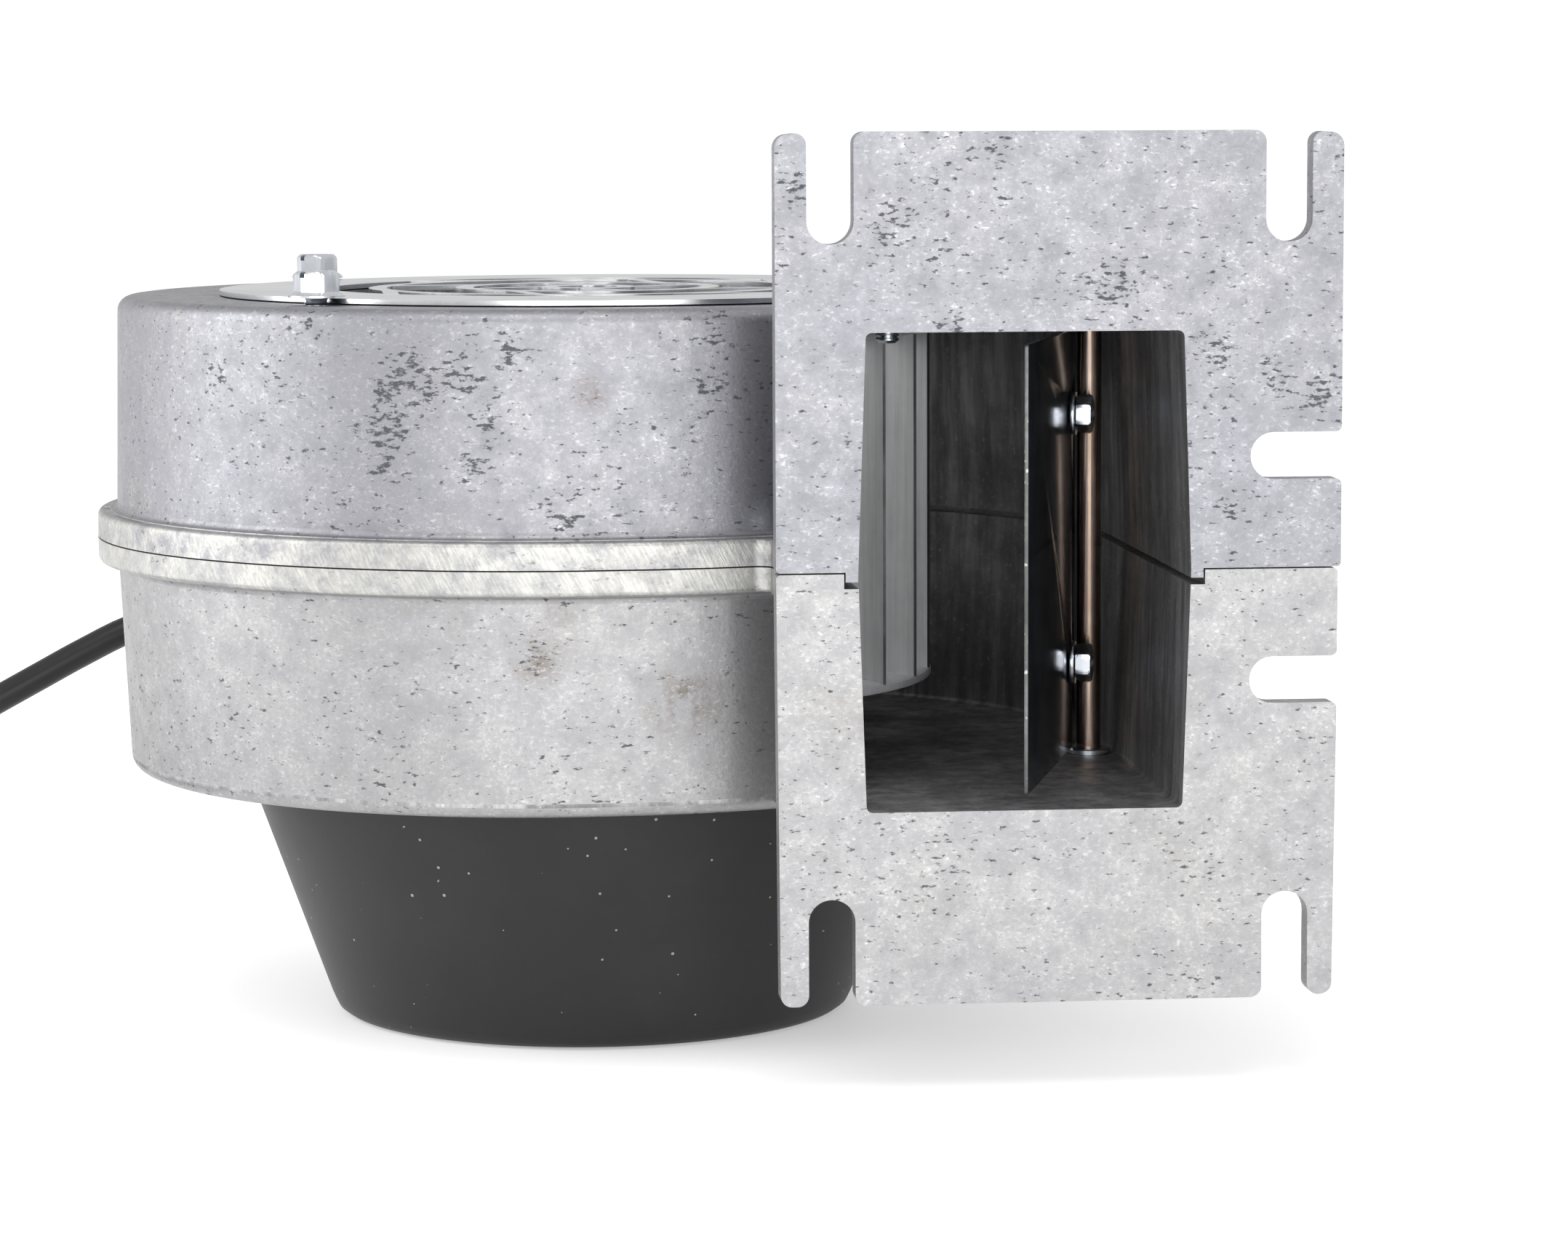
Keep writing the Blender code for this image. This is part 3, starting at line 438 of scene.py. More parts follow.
def soften(item, width, segments=2, degrees=30.0, material=0):
    """Round the sharp edges by a bevel."""
    bevel = item.modifiers.new("edges", "BEVEL")
    bevel.width = width
    bevel.segments = segments
    bevel.limit_method = "ANGLE"
    bevel.angle_limit = math.radians(degrees)
    bevel.use_clamp_overlap = True
    bevel.material = material
    bake(item)


def finish_piece(item, material, body, nodes=(), degrees=32.0):
    """Give a piece its finish, its body and the CAD nodes that it stands for."""
    if item.type == "MESH":
        shade(item, degrees)
        if not item.data.materials:
            item.data.materials.append(material)
    else:
        item.data.materials.append(material)
    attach(item, body)
    if nodes:
        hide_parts(*nodes)
    return item


def post(name, radius, low, high, centre, steps=40):
    """A round tool standing at a centre."""
    outline = circle(radius, steps, centre)
    return object_from(name, loft([(low, outline), (high, outline)]))


def around(count, radius, first=45.0):
    """Places on a circle about the shaft axis."""
    for i in range(count):
        angle = math.radians(first + 360.0 * i / count)
        yield (radius * math.cos(angle), radius * math.sin(angle))


def join(name, items):
    """One object from several, their meshes put together."""
    bm = bmesh.new()
    for item in items:
        bm.from_mesh(item.data)
        bpy.data.objects.remove(item)
    mesh = bpy.data.meshes.new(name)
    bm.to_mesh(mesh)
    bm.free()
    made = bpy.data.objects.new(name, mesh)
    bpy.context.scene.collection.objects.link(made)
    return made


# ---------------------------------------------------------------- node trees for repeats


def open_tree(name, sockets):
    """A geometry tree with named inputs and one geometry output."""
    tree = bpy.data.node_groups.new(name, "GeometryNodeTree")
    tree.interface.new_socket("Geometry", in_out="INPUT", socket_type="NodeSocketGeometry")
    for label, kind in sockets:
        tree.interface.new_socket(label, in_out="INPUT", socket_type=kind)
    tree.interface.new_socket("Geometry", in_out="OUTPUT", socket_type="NodeSocketGeometry")
    return tree, tree.nodes.new("NodeGroupInput"), tree.nodes.new("NodeGroupOutput")


def node(tree, kind, values=(), **settings):
    """Add a node; values are (socket, value or output socket) pairs."""
    made = tree.nodes.new(kind)
    for key, value in settings.items():
        setattr(made, key, value)
    for socket, value in values:
        if isinstance(value, bpy.types.NodeSocket):
            tree.links.new(value, made.inputs[socket])
        else:
            made.inputs[socket].default_value = value
    return made


def close_tree(tree, geometry, material, out):
    """End a tree in real meshes with their finish."""
    real = node(tree, "GeometryNodeRealizeInstances", [("Geometry", geometry)])
    painted = node(tree, "GeometryNodeSetMaterial", [("Geometry", real.outputs[0]), ("Material", material)])
    tree.links.new(painted.outputs[0], out.inputs[0])


def grow(name, tree, values, base=None):
    """An object whose mesh a geometry tree makes; values are given by the inputs' names."""
    item = base or object_from(name, bmesh.new())
    step = item.modifiers.new("grow", "NODES")
    step.node_group = tree
    for socket in tree.interface.items_tree:
        if socket.in_out == "INPUT" and socket.name in values:
            step[socket.identifier] = values[socket.name]
    bake(item)
    return item


def wheel_tree():
    """Copies of a piece, evenly turned about the Z axis."""
    tree, given, out = open_tree(
        "Turned about Z",
        (("Piece", "NodeSocketObject"), ("Count", "NodeSocketInt"), ("Finish", "NodeSocketMaterial")),
    )
    points = node(tree, "GeometryNodePoints", [("Count", given.outputs["Count"])])
    pitch = node(tree, "ShaderNodeMath", [(0, math.tau), (1, given.outputs["Count"])], operation="DIVIDE")
    index = node(tree, "GeometryNodeInputIndex")
    angle = node(
        tree, "ShaderNodeMath", [(0, index.outputs[0]), (1, pitch.outputs[0])], operation="MULTIPLY"
    )
    euler = node(tree, "ShaderNodeCombineXYZ", [("Z", angle.outputs[0])])
    turn = node(tree, "FunctionNodeEulerToRotation", [(0, euler.outputs[0])])
    piece = node(tree, "GeometryNodeObjectInfo", [("Object", given.outputs["Piece"])])
    copies = node(
        tree,
        "GeometryNodeInstanceOnPoints",
        [
            ("Points", points.outputs[0]),
            ("Instance", piece.outputs["Geometry"]),
            ("Rotation", turn.outputs[0]),
        ],
    )
    close_tree(tree, copies.outputs[0], given.outputs["Finish"], out)
    return tree


def seat_tree():
    """Copies of a screw on its seats, each turned by a seeded random amount."""
    tree, given, out = open_tree(
        "Screws on seats",
        (
            ("Screw", "NodeSocketObject"),
            ("Most turn", "NodeSocketFloat"),
            ("Seed", "NodeSocketInt"),
            ("Finish", "NodeSocketMaterial"),
        ),
    )
    amount = node(
        tree,
        "FunctionNodeRandomValue",
        [(2, 0.0), (3, given.outputs["Most turn"]), ("Seed", given.outputs["Seed"])],
        data_type="FLOAT",
    )
    euler = node(tree, "ShaderNodeCombineXYZ", [("Z", amount.outputs[1])])
    turn = node(tree, "FunctionNodeEulerToRotation", [(0, euler.outputs[0])])
    piece = node(tree, "GeometryNodeObjectInfo", [("Object", given.outputs["Screw"])])
    copies = node(
        tree,
        "GeometryNodeInstanceOnPoints",
        [
            ("Points", given.outputs["Geometry"]),
            ("Instance", piece.outputs["Geometry"]),
            ("Rotation", turn.outputs[0]),
        ],
    )
    close_tree(tree, copies.outputs[0], given.outputs["Finish"], out)
    return tree


def turned_copies(name, piece, count, material):
    """Evenly turned copies of a piece, made by the tree; the piece itself goes."""
    values = {"Piece": piece, "Count": count, "Finish": material}
    made = grow(name, wheel_tree(), values)
    bpy.data.objects.remove(piece)
    return made


def seated_copies(name, screw, seats, seed, material):
    """Screws standing on their seats, made by the tree; the screw itself goes."""
    bm = bmesh.new()
    for seat in seats:
        bm.verts.new(seat)
    base = bpy.data.objects.new(name, bpy.data.meshes.new(name))
    bm.to_mesh(base.data)
    bm.free()
    bpy.context.scene.collection.objects.link(base)
    values = {"Screw": screw, "Most turn": math.radians(60.0), "Seed": seed, "Finish": material}
    made = grow(name, seat_tree(), values, base)
    bpy.data.objects.remove(screw)
    return made


# ---------------------------------------------------------------- finishes


class Finish:
    """A Principled material under construction, its patterns set on Object coordinates."""

    def __init__(self, name, colour, metallic, roughness, **sockets):
        self.material = bpy.data.materials.new(name)
        self.material.use_nodes = True
        self.tree = self.material.node_tree
        self.shader = self.tree.nodes["Principled BSDF"]
        self.place = self.tree.nodes.new("ShaderNodeTexCoord").outputs["Object"]
        self.bumps = None
        self.set("Base Color", (*colour, 1.0))
        self.set("Metallic", metallic)
        self.set("Roughness", roughness)
        for key, value in sockets.items():
            self.set(key, value)

    def set(self, socket, value):
        if isinstance(value, bpy.types.NodeSocket):
            self.tree.links.new(value, self.shader.inputs[socket])
        else:
            self.shader.inputs[socket].default_value = value

    def noise(self, scale, detail=4.0, roughness=0.55, stretch=None, offset=None):
        where = self.place
        if stretch:
            where = node(self.tree, "ShaderNodeMapping", [("Vector", where), ("Scale", stretch)]).outputs[0]
        if offset:
            where = node(
                self.tree, "ShaderNodeVectorMath", [(0, where), (1, offset)], operation="ADD"
            ).outputs[0]
        values = [("Vector", where), ("Scale", scale), ("Detail", detail), ("Roughness", roughness)]
        return node(self.tree, "ShaderNodeTexNoise", values).outputs["Fac"]

    def cells(self, scale):
        values = [("Vector", self.place), ("Scale", scale)]
        return node(self.tree, "ShaderNodeTexVoronoi", values).outputs["Distance"]

    def span(self, value, low, high, to_low=0.0, to_high=1.0):
        """Map a value from one range to another, held at the ends."""
        values = [("Value", value), (1, low), (2, high), (3, to_low), (4, to_high)]
        return node(self.tree, "ShaderNodeMapRange", values).outputs[0]

    def math(self, operation, a, b=0.0):
        return node(self.tree, "ShaderNodeMath", [(0, a), (1, b)], operation=operation).outputs[0]

    def mix(self, amount, a, b):
        made = node(self.tree, "ShaderNodeMix", data_type="RGBA")
        for socket, value in ((0, amount), (6, a), (7, b)):
            if isinstance(value, bpy.types.NodeSocket):
                self.tree.links.new(value, made.inputs[socket])
            else:
                made.inputs[socket].default_value = value if socket == 0 else (*value[:3], 1.0)
        return made.outputs[2]

    def near(self, centre, reach, soft):
        """1 within a reach of a point, falling to 0 over soft."""
        away = node(
            self.tree, "ShaderNodeVectorMath", [(0, self.place), (1, centre)], operation="DISTANCE"
        ).outputs["Value"]
        return self.span(away, reach, reach + soft, 1.0, 0.0)

    def bump(self, height, strength, distance):
        values = [("Height", height), ("Strength", strength), ("Distance", distance)]
        if self.bumps is not None:
            values.append(("Normal", self.bumps))
        self.bumps = node(self.tree, "ShaderNodeBump", values).outputs[0]
        self.set("Normal", self.bumps)


def shade_of(colour, factor):
    return tuple(channel * factor for channel in colour)


def cast_metal(name, colour, warm, stains, patches, brown, offset):
    """Die-cast aluminium: cool and warm clouds, short dark flecks in patches, fine nicks, filed rim."""
    made = Finish(name, colour, 1.0, 0.5)
    cloud = made.span(made.noise(21.0, 4.0, 0.6, offset=offset), 0.38, 0.62)
    mottle = made.noise(170.0, 6.0, 0.72, offset=offset)
    grain = made.noise(1150.0, 4.0, 0.75)
    tone = made.mix(cloud, colour, warm)
    tone = made.mix(made.span(mottle, 0.34, 0.66), shade_of(colour, 0.76), tone)
    tone = made.mix(made.span(grain, 0.36, 0.64), shade_of(colour, 0.80), tone)

    stain = made.span(made.noise(48.0, 6.0, 0.66, offset=(3.1, 1.7, offset[2])), 0.56, 0.74, 0.0, stains)
    tone = made.mix(stain, tone, (0.27, 0.25, 0.225))
    for centre, reach, soft in brown:
        spot = made.math("MULTIPLY", made.near(centre, reach, soft), made.span(mottle, 0.42, 0.56))
        tone = made.mix(made.math("MULTIPLY", spot, 0.8), tone, (0.16, 0.135, 0.115))

    cluster = made.span(made.noise(40.0, 3.0, 0.6, offset=(7.0, 2.0, 1.0)), 0.45, 0.75, 0.0, 0.5)
    for centre, reach, soft in patches:
        cluster = made.math("MAXIMUM", cluster, made.near(centre, reach, soft))
    fleck = made.noise(1050.0, 3.0, 0.62, stretch=(0.45, 0.45, 1.0), offset=offset)
    fleck = made.math("ADD", fleck, made.math("MULTIPLY", cluster, 0.150))
    dark = made.span(fleck, 0.64, 0.71)
    tone = made.mix(made.math("MULTIPLY", dark, 0.86), tone, (0.075, 0.078, 0.085))

    nick = made.noise(1500.0, 3.0, 0.65, stretch=(0.55, 0.55, 1.0), offset=(1.0, 4.0, 2.0))
    bright = made.math("MULTIPLY", made.span(nick, 0.56, 0.72), made.span(mottle, 0.36, 0.62, 0.10, 0.48))
    tone = made.mix(bright, tone, (0.72, 0.72, 0.71))

    place = node(made.tree, "ShaderNodeSeparateXYZ", [(0, made.place)])
    height = made.math("SUBTRACT", place.outputs["Z"], SEAM + 0.0001)
    rim = made.span(made.math("ABSOLUTE", height), 0.0050, 0.0058, 1.0, 0.0)
    rim = made.math("MULTIPLY", rim, made.span(place.outputs["Y"], -0.0985, -0.0980))
    slant = node(made.tree, "ShaderNodeCombineXYZ", [("X", made.math("MULTIPLY", height, 0.55))])
    wipe = node(
        made.tree, "ShaderNodeVectorMath", [(0, made.place), (1, slant.outputs[0])], operation="ADD"
    ).outputs[0]
    filed = node(made.tree, "ShaderNodeMapping", [("Vector", wipe), ("Scale", (1.0, 1.0, 0.12))]).outputs[0]
    values = [("Vector", filed), ("Scale", 1700.0), ("Detail", 3.0), ("Roughness", 0.6)]
    marks = node(made.tree, "ShaderNodeTexNoise", values).outputs["Fac"]
    rubbed = made.mix(made.span(marks, 0.36, 0.64), (0.44, 0.435, 0.41), (0.60, 0.595, 0.565))
    patchy = made.span(mottle, 0.38, 0.58, 0.15, 0.85)
    tone = made.mix(made.math("MULTIPLY", rim, patchy), tone, rubbed)
    made.set("Base Color", tone)

    rough = made.span(mottle, 0.3, 0.7, 0.56, 0.44)
    rough = made.math("ADD", rough, made.math("MULTIPLY", dark, 0.14))
    made.set("Roughness", made.math("SUBTRACT", rough, made.math("MULTIPLY", bright, 0.12)))
    made.bump(mottle, 0.25, 0.0004)
    made.bump(grain, 0.40, 0.00012)
    made.bump(made.math("MULTIPLY", marks, rim), 0.45, 0.0002)
    return made.material


def inner_metal_with_painted_light(name, colour):
    """The casting's inner skin, out of the direct light: dull, sooty, with soft streaks that run up and down;
    its tone is set lighter than the outside casting's, painted light for the light that reaches into the
    duct.
    """
    made = Finish(name, colour, 1.0, 0.46)
    streak = made.noise(260.0, 4.0, 0.65, stretch=(1.0, 1.0, 0.10))
    soot = made.noise(34.0, 5.0, 0.65, offset=(2.0, 6.0, 1.0))
    grain = made.noise(900.0, 3.0, 0.7)
    tone = made.mix(made.span(streak, 0.36, 0.64), shade_of(colour, 0.62), shade_of(colour, 1.35))
    tone = made.mix(made.span(soot, 0.42, 0.62, 0.0, 0.75), tone, shade_of(colour, 0.35))
    tone = made.mix(made.span(grain, 0.60, 0.70, 0.0, 0.35), tone, shade_of(colour, 2.1))
    made.set("Base Color", tone)
    made.set("Roughness", made.span(soot, 0.3, 0.7, 0.40, 0.62))
    made.bump(streak, 0.15, 0.0002)
    made.bump(grain, 0.35, 0.00012)
    return made.material


def worn_metal(name, colour):
    """Rubbed edge of the casting: bright metal, ragged where the dull skin holds on."""
    made = Finish(name, colour, 1.0, 0.33)
    skin = made.span(made.noise(420.0, 4.0, 0.7), 0.50, 0.60)
    made.set("Base Color", made.mix(skin, colour, shade_of(colour, 0.52)))
    made.set("Roughness", made.span(skin, 0.0, 1.0, 0.30, 0.52))
    made.bump(made.noise(900.0, 3.0), 0.5, 0.0003)
    return made.material


def sheet_metal(
    name, colour, roughness, stretch, smear=0.25, stain=None, flecks=0.0, metallic=1.0
):
    """Rolled or drawn sheet: fine lines one way, faint smears and a stain."""
    made = Finish(name, colour, metallic, roughness)
    lines = made.noise(700.0, 3.0, 0.6, stretch=stretch)
    smears = made.noise(42.0, 5.0, 0.62)
    tone = made.mix(made.span(lines, 0.3, 0.7), shade_of(colour, 1.0 - smear * 0.6), shade_of(colour, 1.06))
    tone = made.mix(made.span(smears, 0.42, 0.68, 0.0, 0.7), tone, shade_of(colour, 1.0 - smear))
    if stain:
        tone = made.mix(made.span(made.noise(28.0, 4.0, offset=(5.0, 0.0, 2.0)), 0.46, 0.66), tone, stain)
    if flecks:
        specks = made.span(made.noise(820.0, 2.0, 0.5), 0.66, 0.72, 0.0, flecks)
        tone = made.mix(specks, tone, (0.62, 0.62, 0.60))
    made.set("Base Color", tone)
    made.set("Roughness", made.span(smears, 0.3, 0.7, roughness * 0.8, roughness * 1.35))
    made.bump(lines, 0.12, 0.0001)
    return made.material


def moulded(name, colour, roughness, dust, texture=900.0):
    """Moulded plastic or rubber: a fine grain, faint rubbed haze and dust specks."""
    made = Finish(name, colour, 0.0, roughness, **{"Specular IOR Level": 0.3})
    grain = made.noise(texture, 2.0, 0.5)
    haze = made.span(made.noise(24.0, 5.0, 0.65), 0.45, 0.75)
    tone = made.mix(haze, colour, shade_of(colour, 1.5))
    if dust:
        place = made.noise(30.0, 3.0, 0.6)
        size = made.span(place, 0.35, 0.75, 0.045, 0.15)
        speck = made.math("LESS_THAN", made.cells(330.0), size)
        keep = made.math("GREATER_THAN", made.noise(260.0, 1.0), 0.54)
        specks = made.math("MULTIPLY", made.math("MULTIPLY", speck, keep), dust)
        tone = made.mix(specks, tone, (0.34, 0.29, 0.24))
    made.set("Base Color", tone)
    made.set("Roughness", made.span(haze, 0.0, 1.0, roughness, roughness * 1.2))
    made.bump(grain, 0.18, 0.00012)
    return made.material


def banded(name, colour, metallic, roughness, pitch, across="Z"):
    """Fine bands along an axis, for laminations and windings."""
    made = Finish(name, colour, metallic, roughness)
    wave = node(
        made.tree,
        "ShaderNodeTexWave",
        [("Vector", made.place), ("Scale", 1.0 / pitch / 3.18), ("Distortion", 0.3)],
        bands_direction=across,
    ).outputs["Fac"]
    speck = made.noise(160.0, 3.0)
    tone = made.mix(made.span(wave, 0.2, 0.8), shade_of(colour, 0.55), colour)
    made.set("Base Color", made.mix(made.span(speck, 0.4, 0.7, 0.0, 0.4), tone, shade_of(colour, 0.7)))
    made.bump(wave, 0.5, 0.0002)
    return made.material


FINISHES = {}


def finish_for(slot):
    """The material of one of the record's slots, made the first time it is asked for."""
    if slot not in FINISHES:
        casting = bpy.context.scene.fan_casting
        makers = {
            "cast_aluminium": lambda: cast_metal(
                slot, tuple(casting.metal), (0.42, 0.415, 0.40), 0.2, (), (), (0.0, 0.0, 0.0)
            ),
            "worn_edge": lambda: worn_metal(slot, (0.93, 0.925, 0.90)),
            # painted light: the inner skin is set lighter than the outside casting to stand in for the front
            # light that reaches into the duct; its soot patches are real dirt
            "inner_skin": lambda: inner_metal_with_painted_light(slot, (0.46, 0.455, 0.46)),
            "impeller_aluminium": lambda: sheet_metal(
                slot, tuple(bpy.context.scene.fan_wheel.metal), 0.38, (1.0, 1.0, 0.04), 0.30, metallic=0.45
            ),
            # painted shadow: near-black finish for the blades' tip faces, standing in for the shadow gap
            # behind each blade's edge
            "blade_tip_painted_shadow": lambda: sheet_metal(slot, (0.10, 0.10, 0.105), 0.55, (1.0, 1.0, 0.2), 0.4),
            "bright_sheet_steel": lambda: sheet_metal(slot, (0.72, 0.73, 0.75), 0.20, (0.05, 1.0, 1.0), 0.15),
            "flap_sheet": lambda: sheet_metal(
                slot, (0.36, 0.38, 0.42), 0.15, (1.0, 1.0, 0.05), 0.35, (0.16, 0.18, 0.23), 0.35
            ),
            "flap_edge": lambda: sheet_metal(slot, (0.20, 0.20, 0.20), 0.5, (1.0, 1.0, 1.0), 0.45, None, 0.8),
            "zinc_plated_steel": lambda: sheet_metal(slot, (0.74, 0.77, 0.81), 0.20, (1.0, 1.0, 0.3), 0.2),
            "hinge_rod_steel": lambda: sheet_metal(
                slot, (0.42, 0.33, 0.27), 0.20, (1.0, 1.0, 0.05), 0.45, (0.20, 0.13, 0.09)
            ),
            "laminated_steel": lambda: banded(slot, (0.36, 0.36, 0.38), 1.0, 0.5, 0.0006),
            "copper_winding": lambda: banded(slot, (0.72, 0.34, 0.15), 0.9, 0.32, 0.0009),
            "gasket_paper": lambda: moulded(slot, (0.70, 0.67, 0.60), 0.9, 0.0, 400.0),
            "pale_plastic": lambda: moulded(slot, (0.78, 0.78, 0.74), 0.4, 0.0),
            "black_plastic": lambda: moulded(slot, (0.0155, 0.0150, 0.0155), 0.44, 0.85),
            "black_rubber": lambda: moulded(slot, (0.016, 0.016, 0.017), 0.55, 0.3),
            "black_cable": lambda: moulded(
                slot, tuple(bpy.context.scene.fan_lead.sheath), 0.36, 0.15
            ),
        }
        FINISHES[slot] = makers[slot]()
    return FINISHES[slot]


# ---------------------------------------------------------------- stage


class FAN_OT_stage(bpy.types.Operator):
    """Make the camera, the pale floor and the soft light"""

    bl_idname = "fan.stage"
    bl_label = "Stage"

    def execute(self, context):
        settings = context.scene.fan_stage
        lens = bpy.data.cameras.new("camera")
        lens.sensor_width = 36.0
        lens.lens = settings.lens
        lens.clip_start = 0.01
        camera = bpy.data.objects.new("camera", lens)
        turn = Matrix.Rotation(-settings.yaw, 4, "Z") @ Matrix.Rotation(math.pi / 2 - settings.pitch, 4, "X")
        camera.matrix_world = (
            Matrix.Translation(settings.camera_place) @ turn @ Matrix.Rotation(settings.roll, 4, "Z")
        )
        context.scene.collection.objects.link(camera)
        context.scene.camera = camera

        bm = bmesh.new()
        bmesh.ops.create_grid(bm, x_segments=1, y_segments=1, size=12.0)
        floor = object_from("floor", bm, Matrix.Translation((0.0, 0.0, -0.0001)))
        pale = Finish("floor_finish", (0.93, 0.93, 0.93), 0.0, 0.6)
        tint = pale.span(pale.noise(3.0, 2.0), 0.3, 0.7)
        pale.set("Base Color", pale.mix(tint, (0.93, 0.93, 0.935), (0.90, 0.90, 0.90)))
        pale.set("Emission Color", (1.0, 1.0, 1.0, 1.0))
        pale.set("Emission Strength", settings.table)
        floor.data.materials.append(pale.material)

        world = bpy.data.worlds.new("studio")
        world.use_nodes = True
        tree = world.node_tree
        around_it = tree.nodes["Background"]
        around_it.inputs["Strength"].default_value = settings.surround
        around_it.inputs["Color"].default_value = (1.0, 1.0, 1.0, 1.0)
        seen = node(tree, "ShaderNodeBackground", [("Strength", 1.05)])
        seen.inputs["Color"].default_value = (1.0, 1.0, 1.0, 1.0)
        rays = node(tree, "ShaderNodeLightPath")
        both = node(tree, "ShaderNodeMixShader", [(0, rays.outputs["Is Camera Ray"])])
        tree.links.new(around_it.outputs[0], both.inputs[1])
        tree.links.new(seen.outputs[0], both.inputs[2])
        tree.links.new(both.outputs[0], tree.nodes["World Output"].inputs["Surface"])
        context.scene.world = world
        context.scene.view_settings.view_transform = "Standard"

        lamps = (
            ("left", (-1.25, 0.05, 0.55), 1.1, settings.key * 1.35),
            ("top", (-0.15, -0.75, 1.45), 0.9, settings.key),
            ("front", (0.30, -1.60, 0.35), 0.7, settings.key * 0.75),
            ("front_left", (-0.45, -1.50, 0.28), 0.5, settings.key * 0.45),
        )
        for name, place, size, power in lamps:
            lamp = bpy.data.lights.new(name, "AREA")
            lamp.size = size
            lamp.energy = power
            item = bpy.data.objects.new(name, lamp)
            item.location = place
            aim = Vector((0.02, 0.0, 0.09)) - Vector(place)
            item.rotation_euler = aim.to_track_quat("-Z", "Y").to_euler()
            context.scene.collection.objects.link(item)
        return {"FINISHED"}


# ---------------------------------------------------------------- mains lead


def smooth_route(route, spacing):
    """Points at an even spacing on a smooth curve through a route."""
    anchors = [Vector(p) for p in route]
    last = len(anchors) - 1
    tangents = [(anchors[min(i + 1, last)] - anchors[max(i - 1, 0)]) / 2 for i in range(last + 1)]
    fine = []
    for i in range(last):
        a, b = anchors[i], anchors[i + 1]
        fine += interpolate_bezier(a, a + tangents[i] / 3, b - tangents[i + 1] / 3, b, 24)[:-1]
    fine.append(anchors[-1])
    total = sum((b - a).length for a, b in zip(fine, fine[1:]))
    steps = max(2, round(total / spacing))
    points = [fine[0]]
    walked = 0.0
    for a, b in zip(fine, fine[1:]):
        walked += (b - a).length
        if walked >= total * len(points) / steps and len(points) < steps:
            points.append(b)
    points.append(fine[-1])
    return points


def eased(value, low, high):
    """0 before low, 1 after high, smooth between."""
    share = min(max((value - low) / (high - low), 0.0), 1.0)
    return share * share * (3.0 - 2.0 * share)


def coil_points():
    """The wound length: three turns on the floor from outside in, then one on top of them."""
    pitch = 2 * CABLE_RADIUS
    points = []
    for i in range(COIL_STEPS + 1):
        turn = COIL_START_TURN + (COIL_END_TURN - COIL_START_TURN) * i / COIL_STEPS
        radius = COIL_MIDDLE_RADIUS + pitch * 2.0
        for step in range(3):
            first = 174.0 + 360.0 * step
            radius -= pitch * eased(turn, first, first + 51.0)
        radius += pitch / 2 * eased(turn, 1254.0, 1305.0)
        radius += pitch * eased(turn, 1550.0, 1605.0)
        lift = eased(turn, 1210.0, 1270.0)
        hump = math.exp(-(((turn - 1580.0) / 22.0) ** 2)) + eased(turn, 1595.0, 1630.0)
        height = COIL_LOW + (COIL_HIGH - COIL_LOW) * lift + 0.0010 * hump
        angle = math.radians(turn)
        points.append(COIL_CENTRE + Vector((radius * math.cos(angle), radius * math.sin(angle), height)))
    return points


